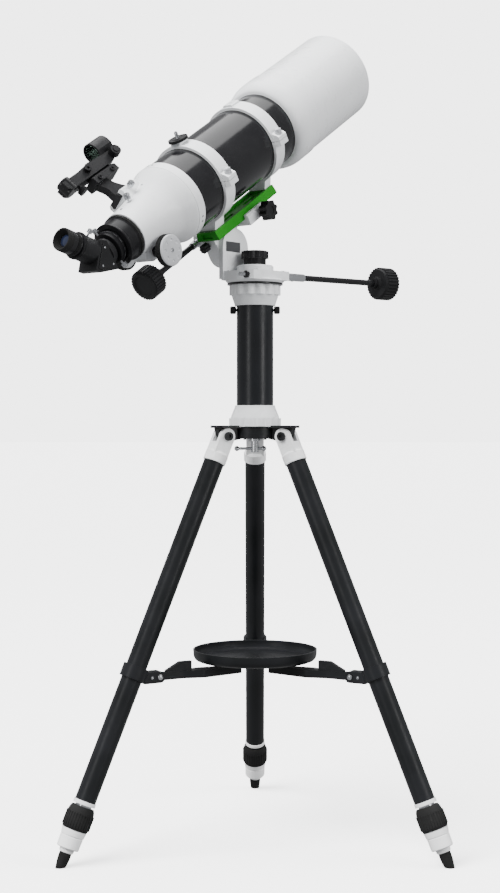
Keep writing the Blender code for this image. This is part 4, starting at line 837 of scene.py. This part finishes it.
# ---- azimuth part ----
def azimuth_part():
    washer = tube(44.5, 11, RING_Z1 + GAP, BODY_Z0 - 3.6, sides=FINE)
    piece("azimuth_bearing_washer", washer, "glossy_plastic", TRIPOD, "tripod", ["azimuth_washer"], 0.3)

    to_azimuth = AZIMUTH.inverted() @ WORM
    to_azimuth.translation = (0, 0, 0)
    corners = [(42, -36), (42, 36), (-18, 36)] + smooth([(-24, 33), (-36, 16), (-38, 6), (-34, -12)],
        5) + [(-18, -54)]
    deck = put(prism(corners, "Z", BODY_Z0, BODY_Z1), to_azimuth)
    skirt = turned([(0, BODY_Z0 - 3.3), (44, BODY_Z0 - 3.3), (46.6, BODY_Z0 - 0.5), (47, BODY_Z0 + 0.6),
        (46, BODY_Z0 + 2.4), (30, BODY_Z0 + 4), (0, BODY_Z0 + 4)], sides=FINE)
    flange = turned([(0, BODY_Z1 - 2), (29.6, BODY_Z1 - 2), (29.6, 912.5), (27.5, 914.5), (0, 914.5)],
        sides=FINE)
    head = arc((ARM_H, ALT_Z), ARM_HALF, 0, 180, 60)
    foot = [(ARM_H - ARM_HALF, BODY_Z0 + 2), (ARM_H + ARM_HALF, BODY_Z0 + 2)]
    arm = prism(head + foot, "X", ARM_W0, ARM_W1)
    web = prism([(-4, BODY_Z1 - 3), (12, BODY_Z1 - 3), (12, BODY_Z1 + 6), (4, BODY_Z1 + 9),
        (-4, BODY_Z1 + 16)], "X", ARM_W0 + 1, ARM_W1 + 1.8)
    worm = put(rod(4.8, -100, 100, "Y", (WORM_SIDE, 0, WORM_Z)), to_azimuth)
    body = cut(union(deck, skirt, flange, arm, web), rod(4.6, 870, 930), worm, rod(8.3, ARM_W0 - 5,
        ARM_W1 - 2.5, "X", (0, ARM_H, ALT_Z), ROUND))
    piece("azimuth_casting", body, "white_paint", AZIMUTH, "azimuth", ["azimuth_body"], 1.2, segments=3)
    plate = block(ARM_W1 - 0.6, ARM_W1 + 0.5, ARM_H - 24, ARM_H + 11, ALT_Z - 7, ALT_Z + 9)
    piece("arm_plate", plate, "plate_grey", AZIMUTH, "azimuth", [], 0.2)
    for number, (side, along) in enumerate(((37, -28), (36, 28), (-12, -44)), start=1):
        screw = put(moved(socket_screw(3, 1.6, 1.5), side, along, BODY_Z1 - 0.4), to_azimuth)
        piece(f"azimuth_cover_screw_{number}", screw, "silver", AZIMUTH, "azimuth", [], 0.2)

    lower = prism(ribbed(17.6, 17, 44, 0.5), "Z", 914.9, 925.6)
    grip = union(rod(4.2, 884, 918), lower, prism(lobed(21.6, 18.8, 10, 14, 0.62), "Z", 925.6, 937.4),
        turned([(0, 925), (18, 925), (19, 926.4), (19, 936.6), (17.4, 938), (13, 938), (11.6, 936.6),
        (0, 936.6)]))
    piece("azimuth_clamp_grip", grip, "moulded_black", TRIPOD, "azimuth_clamp", ["azimuth_clamp_knob"],
        0.4, (0, 0, 925))
    cap = turned([(0, 936), (9, 936), (9, 937), (8, 937.6), (0, 937.8)])
    piece("azimuth_clamp_cap", cap, "glossy_plastic", TRIPOD, "azimuth_clamp", [], 0.2, (0, 0, 925))

    out = facing((0, 1, 0), (WORM_SIDE, 0, WORM_Z))
    origin = (WORM_SIDE, 0, WORM_Z)
    slow_motion("azimuth", out, WORM, origin, -36, 36.3, 76, 228, 27.2, 30)
    end = union(rod(3, -55.4, -32), turned([(0, -56), (2.4, -56), (3, -55.2), (0, -55.2)]))
    piece("azimuth_worm_end", put(end, out), "silver", WORM, "azimuth_control", [], 0.3, origin)
    piece("azimuth_worm_washer", put(tube(5.6, 2.9, -43.9, -41.3), out), "moulded_black", WORM,
        "azimuth_control", [], 0.3, origin)


# ---- pillar ----
def pillar_set():
    shoulder = smooth([(38.4, 670), (38.1, 673.5), (35.2, 681), (32.6, 687.4), (32.2, 690.4)], 4)
    body = shell([(38.4, 657.3)] + shoulder + [(31.6, 691), (29.6, 691), (29.6, 684.7), (5.6, 684.7),
        (5.6, 657.3)])
    base = prism(lobed(41.5, 38, 14, 14, 0.6), "Z", 658, 670.6)
    body = union(body, cut(base, rod(10, 640, 680)))
    piece("pillar_foot", body, "white_paint", TRIPOD, "tripod", ["lower_adapter"], 0.5, segments=3)

    shank = turned([(0, 616), (5.4, 616), (6.4, 617), (6.4, 634), (11, 634.5), (11, 637.7), (5.2, 637.7),
        (5.2, 682), (0, 682)], sides=SMALL)
    lever = rod(2.2, -28, 13, "X", (0, 0, 622), 32)
    body = union(shank, lever, ball(4.2, (-29, 0, 622)), ball(4.2, (14, 0, 622)))
    piece("pillar_bolt_lever", body, "silver", TRIPOD, "pillar_bolt", ["pillar_bolt"], 0.2, (0, 0, 622))

    shaft = shell([(PILLAR_R, 685), (PILLAR_R, 852), (PILLAR_BORE_R, 852), (PILLAR_BORE_R, 685)])
    shaft = cut(shaft, rod(2.4, -40, 40, "X", (0, 0, PILLAR_SCREW_Z)))
    piece("pillar_tube", shaft, "pillar_black", TRIPOD, "tripod", ["pillar"], 0.3)

    scallops = prism(lobed(41, 36.8, 14, 14, 0.6), "Z", 867, RING_Z1 - 0.2)
    top = turned([(0, 866.4), (36.2, 866.4), (37.1, 868), (37.1, RING_Z1 - 1.4), (36.4, RING_Z1),
        (0, RING_Z1)], sides=FINE)
    cone = turned([(0, 850), (32, 850), (32.6, 850.8), (33, 853), (37.8, 867.4), (0, 867.4)], sides=FINE)
    ring = cut(union(cone, top, scallops), rod(29.6, 830, 852.3, sides=FINE), rod(10, 840, 900))
    piece("pillar_clamp_ring", ring, "white_paint", TRIPOD, "tripod", ["clamp_ring"], 0.5, segments=3)

    for number, turn in ((1, 180), (2, 0)):
        head = union(prism(ribbed(6.3, 5.7, 20, 0.5), "Z", 31.4, 38.6), turned([(0, 30.2), (5, 30.2),
            (5.9, 31.6), (5.9, 38.4), (4.8, 40), (0, 40)]))
        screw = put(union(rod(2.1, 25.5, 34), head), facing((1, 0, 0), (0, 0, PILLAR_SCREW_Z)))
        side = cos(radians(turn))
        piece(f"pillar_grip_screw_{number}", tilted(screw, turn, "Z"), "moulded_black", TRIPOD,
            f"pillar_thumbscrew_{number}", [f"pillar_thumbscrew_{number}"], 0.5, (side * 36, 0,
            PILLAR_SCREW_Z))


# ---- tripod ----
def tripod_head():
    body = shell([(36, 638.6), (36, 656.4), (6.8, 656.4), (6.8, 638), (35.2, 638)])
    body = cut(body, tube(31, 14, 630, 640.6))
    for number in LEGS:
        nose = arc((HINGE_R, HINGE_Z), 10, -110, 0, 16)
        tongue = prism([(22, 639)] + nose + [(71, 653), (71, 656.2), (22, 656.2)], "Y", -6.2, 6.2)
        roof = prism(mirrored([(20, -18), (68, -18), (72.6, -15.4), (74, -11)]), "Z", HEAD_TOP_Z - 1.9,
            HEAD_TOP_Z + 2)
        ear = cut(union(tongue, roof), rod(4.2, -20, 20, "Y", (HINGE_R, 0, HINGE_Z)))
        to_leg = TRIPOD.inverted() @ outward_frame(number)
        to_leg.translation = (0, 0, 0)
        body = union(body, put(ear, to_leg))
    body = cut(body, rod(42.6, HEAD_TOP_Z, HEAD_TOP_Z + 20, sides=FINE))
    piece("tripod_head_casting", body, "satin_black", TRIPOD, "tripod", ["tripod_head"], 0.7, segments=3)


def leg(number):
    local = leg_frame(number)
    cheeks = union(rod(12.6, -14.4, 14.4, "X", sides=ROUND), block(-14.4, 14.4, -12.6, 12.6, -31, 0),
        turned([(0, -27), (15.8, -27), (18.2, -30.4), (18.2, -43.4), (17.4, -44.6), (0, -44.6)],
        sides=FINE))
    slot = union(block(-6.9, 6.9, -20, 20, -13.5, 20), rod(13.5, -6.9, 6.9, "X", sides=ROUND))
    knuckle = cut(cheeks, slot, rod(4.2, -20, 20, "X"))
    piece(f"leg_knuckle_{number}", knuckle, "white_plastic", local, f"leg_{number}",
        [f"upper_leg_{number}"], 0.8, segments=3)
    shaft = turned([(0, -43.8), (LEG_TUBE_R, -43.8), (LEG_TUBE_R, -LEG_TUBE_END), (13.2, -LEG_TUBE_END),
        (13.2, -60), (0, -60)])
    piece(f"leg_tube_{number}", shaft, "satin_black", local, f"leg_{number}", [], 0.3)
    band = tube(17.3, 15.8, -LEG_TUBE_END, -LEG_TUBE_END + 5.6)
    piece(f"leg_ring_{number}", band, "white_plastic", local, f"leg_{number}", [], 0.4)

    bolt = rod(3.9, -15, 15, "X")
    for side in (-1, 1):
        head = put(socket_screw(7, 4.2, 3.4, 14.7), facing((side, 0, 0), (0, 0, 0)))
        bolt = union(bolt, head)
    piece(f"leg_pivot_bolt_{number}", bolt, "satin_black", local, "tripod", [f"leg_bolt_{number}"], 0.4,
        segments=3)

    start, end = -LOCK_START, -LOCK_END
    profile = smooth([(17.3, start), (19.6, start - 5), (20.9, start - 13), (21.2, start - 22),
        (20.6, start - 30), (20, end)], 3)
    sleeve = turned(profile + [(13.3, end), (13.3, start)], closed=True)
    fins = cut(prism(ribbed(21.8, 20, 32, 0.5), "Z", end + 3.4, start - 10), rod(18, end - 5, start + 5))
    body = f"twist_lock_{number}"
    piece(f"leg_lock_{number}", union(sleeve, fins), "rubber", local, body, [body], 0.35, (0, 0, start))

    foot_end = -hypot(FOOT_R - HINGE_R, HINGE_Z) - 12
    shaft = turned([(0, -300), (INNER_LEG_R, -300), (INNER_LEG_R, -644), (0, -644)])
    body = f"lower_leg_{number}"
    piece(f"inner_leg_{number}", shaft, "silver", local, body, [], 0.2)
    cone = turned([(0, -641.6), (18.8, -641.6), (19.2, -642.6), (17.9, -651), (17, -651.4), (17, -652.2),
        (17.6, -652.6), (17.2, -669), (16.2, -670.4), (11.4, -671.2), (11, -675.4), (9.8, -677), (0, -677)])
    piece(f"leg_end_{number}", cone, "white_plastic", local, body, [body], 0.4)
    sides_of_tip = smooth([(8.6, -676.4), (9.4, -680), (8.9, -690), (6.4, foot_end + 6)], 4)
    tip = turned([(0, -676.4)] + sides_of_tip + [(5.2, foot_end), (0, foot_end)], sides=SMALL)
    tip.transform(Matrix.Scale(MM, 4))
    tip.transform(local)
    everything = tip.verts[:] + tip.edges[:] + tip.faces[:]
    bmesh.ops.bisect_plane(tip, geom=everything, dist=1e-7, plane_co=(0, 0, 0), plane_no=UP,
        clear_inner=True)
    bmesh.ops.holes_fill(tip, edges=[edge for edge in tip.edges if edge.is_boundary])
    tip.transform(local.inverted())
    tip.transform(Matrix.Scale(1 / MM, 4))
    bmesh.ops.recalc_face_normals(tip, faces=tip.faces)
    piece(f"leg_tip_{number}", tip, "rubber", local, body, [], 0.3)


def spreader(number):
    local = leg_frame(number)
    place_out = outward_frame(number)
    to_leg = local.inverted() @ place_out
    distance = (HINGE_Z - 281) / cos(atan2(FOOT_R - HINGE_R, HINGE_Z))
    band = tube(20.2, LEG_TUBE_R + GAP, -distance - 10, -distance + 10)
    ear = block(SPREADER_R, 200, -9, 9, SPREADER_Z - 9, SPREADER_Z + 9)
    pivot = (SPREADER_R, 0, SPREADER_Z)
    notch = block(SPREADER_R - 20, SPREADER_R + 11, -5.4, 5.4, SPREADER_Z - 20, SPREADER_Z + 20)
    ears = cut(union(ear, rod(9, -9, 9, "Y", pivot)), notch, rod(2.8, -20, 20, "Y", pivot))
    for scale, matrix in ((MM, to_leg), (1 / MM, Matrix.Identity(4))):
        ears.transform(Matrix.Scale(scale, 4))
        ears.transform(matrix)
    ears = cut(ears, rod(LEG_TUBE_R + GAP, -distance - 40, -distance + 40, sides=ROUND))
    strap = cut(union(band, ears), block(-1, 1, 10, 30, -distance - 20, -distance + 20))
    piece(f"leg_collar_{number}", strap, "satin_black", local, f"leg_{number}", [f"leg_strap_{number}"],
        0.5, segments=3)

    blade = prism(mirrored([(26.8, -4), (29.8, -5), (98, -15), (103, -14), (130, -5.4), (136, -5),
        (SPREADER_R, -5)]), "Z", SPREADER_Z - 6, SPREADER_Z + 6)
    hollow = prism(mirrored([(38, -3.4), (96, -12.4), (101, -11.4), (126, -3.6)]), "Z", SPREADER_Z - 12,
        SPREADER_Z - 3.6)
    ribs = union(block(34, 134, -1, 1, SPREADER_Z - 5.4, SPREADER_Z + 2), block(96, 99, -14, 14,
        SPREADER_Z - 5.4, SPREADER_Z + 2))
    wing = prism([(116, SPREADER_Z - 2), (116, 292), (136, 292), (160, 280), (160, SPREADER_Z - 2)], "Y",
        -3.6, 3.6)
    arm = union(cut(blade, hollow), ribs, wing, rod(6, -5, 5, "Y", pivot))
    body = f"spreader_{number}"
    piece(f"spreader_blade_{number}", arm, "satin_black", place_out, body, [f"spreader_arm_{number}"], 0.5,
        pivot, 3)
    rivet = rod(2.4, -10, 10, "Y", pivot)
    for side in (-1, 1):
        head = turned([(0, 9.3), (4.6, 9.3)] + dome(4.6, 2.4, 9.6), sides=32)
        rivet = union(rivet, put(head, facing((0, side, 0), pivot)))
    piece(f"spreader_rivet_{number}", rivet, "silver", place_out, body, [], 0, pivot)
    for side in (-1, 1):
        head = put(cross_screw(2.6, 1.2), facing((0, side, 0), (SPREADER_R + 13.5, side * 9, SPREADER_Z)))
        piece(f"strap_rivet_{number}_{'a' if side < 0 else 'b'}", head, "silver", place_out,
            f"leg_{number}", [], 0)


def tray():
    edge, base, rim = TRAY_R, TRAY_BASE_Z, TRAY_RIM_Z
    wall = smooth([(edge - 9, base), (edge - 4, base + 2.2), (edge - 1.4, base + 6.5), (edge - 0.5,
        base + 12), (edge - 0.2, rim - 1)], 4)
    inside = smooth([(edge - 3, rim - 0.6), (edge - 3.4, base + 11), (edge - 5.6, base + 6), (edge - 11,
        base + 3.2)], 4)
    dish = turned([(0, base)] + wall + [(edge, rim - 0.4), (edge - 0.6, rim), (edge - 2.4, rim)] + inside
        + [(14, base + 3.2), (13, base + 4.2), (8, base + 4.4), (7.4, base + 3.4), (0, base + 3.4)],
        sides=FINE)
    boss = rod(4, base - 16, base + 1)
    body = union(dish, boss)
    grooves = [tube(radius + 0.5, radius - 0.5, base + 2.8, base + 8) for radius in (34, 62, 82)]
    piece("tray_dish", cut(body, *grooves), "satin_black", TRIPOD, "tray", ["accessory_tray"], 0.3,
        (0, 0, base))


# ---- stage, lights and camera ----
def light(name, kind, energy, turn):
    data = bpy.data.lights.new(name, kind)
    data.energy = energy
    lamp = bpy.data.objects.new(name, data)
    bpy.context.scene.collection.objects.link(lamp)
    lamp.rotation_euler = turn.to_euler()
    return lamp


def area_light(name, place_at, aim, size, energy):
    lamp = light(name, "AREA", energy, (Vector(aim) - Vector(place_at)).to_track_quat("-Z", "Y"))
    lamp.location = place_at
    lamp.data.shape = "RECTANGLE"
    lamp.data.size, lamp.data.size_y = size


def sun_light(name, towards, strength):
    """Broad light from one side, which glossy surfaces don't mirror."""
    lamp = light(name, "SUN", strength, Vector(towards).to_track_quat("Z", "Y"))
    lamp.data.angle = radians(SUN_SPREAD_DEG)
    lamp.visible_glossy = False


def make_stage():
    floor_mesh = bmesh.new()
    bmesh.ops.create_grid(floor_mesh, x_segments=1, y_segments=1, size=40)
    floor = raw_object("studio_floor", floor_mesh)
    floor.location = (0, 0, -0.0005)
    finish = bpy.data.materials.new("studio_paper")
    finish.use_nodes = True
    tree = finish.node_tree
    shader = tree.nodes["Principled BSDF"]
    coords = node(tree, "ShaderNodeTexCoord")
    tone = mixed(tree, noise(tree, coords, 1.5), (0.93, 0.93, 0.93), (0.95, 0.95, 0.95))
    feed(tree, shader, Base_Color=tone, Roughness=0.9, Specular_IOR_Level=0.1)
    feed(tree, shader, Emission_Color=(1, 1, 1, 1), Emission_Strength=FLOOR_GLOW)
    floor.data.materials.append(finish)
    floor.visible_glossy = False
    floor.visible_diffuse = False

    world = bpy.data.worlds.new("studio")
    bpy.context.scene.world = world
    world.use_nodes = True
    tree = world.node_tree
    soft = tree.nodes["Background"]
    feed(tree, soft, Color=(0.97, 0.98, 1, 1), Strength=SKY)
    backdrop = node(tree, "ShaderNodeBackground")
    feed(tree, backdrop, Color=(1, 1, 1, 1), Strength=BACKDROP)
    path = node(tree, "ShaderNodeLightPath")
    choice = node(tree, "ShaderNodeMixShader")
    tree.links.new(path.outputs["Is Camera Ray"], choice.inputs["Fac"])
    tree.links.new(soft.outputs["Background"], choice.inputs[1])
    tree.links.new(backdrop.outputs["Background"], choice.inputs[2])
    tree.links.new(choice.outputs["Shader"], tree.nodes["World Output"].inputs["Surface"])

    area_light("left_strip", (-1.9, -2.2, 1.1), (0, 0, 0.7), (0.45, 1.7), 12)
    area_light("top_light", (0, 0.6, 3.6), (0, 0, 0.8), (2.4, 2.4), 60)
    area_light("right_strip", (2.3, -1.9, 1.1), (0, 0, 0.7), (0.6, 1.7), 18)
    sun_light("sky_left", (-0.55, -0.45, 0.85), 9)
    sun_light("sky_right", (0.8, -0.2, 0.4), 3)

    lens = bpy.data.cameras.new("photo_camera")
    lens.lens, lens.sensor_width = LENS_MM, SENSOR_MM
    lens.shift_x, lens.shift_y = LENS_SHIFT
    camera = bpy.data.objects.new("photo_camera", lens)
    bpy.context.scene.collection.objects.link(camera)
    camera.location = CAMERA_AT
    camera.rotation_euler = (radians(90), 0, 0)
    bpy.context.scene.camera = camera


make_materials()
tube_and_cell()
rear_casting()
focuser()
diagonal_and_eyepiece()
finder()
tube_rings()
dovetail_bar()
saddle()
azimuth_part()
pillar_set()
tripod_head()
for leg_number in LEGS:
    leg(leg_number)
    spreader(leg_number)
tray()
make_stage()
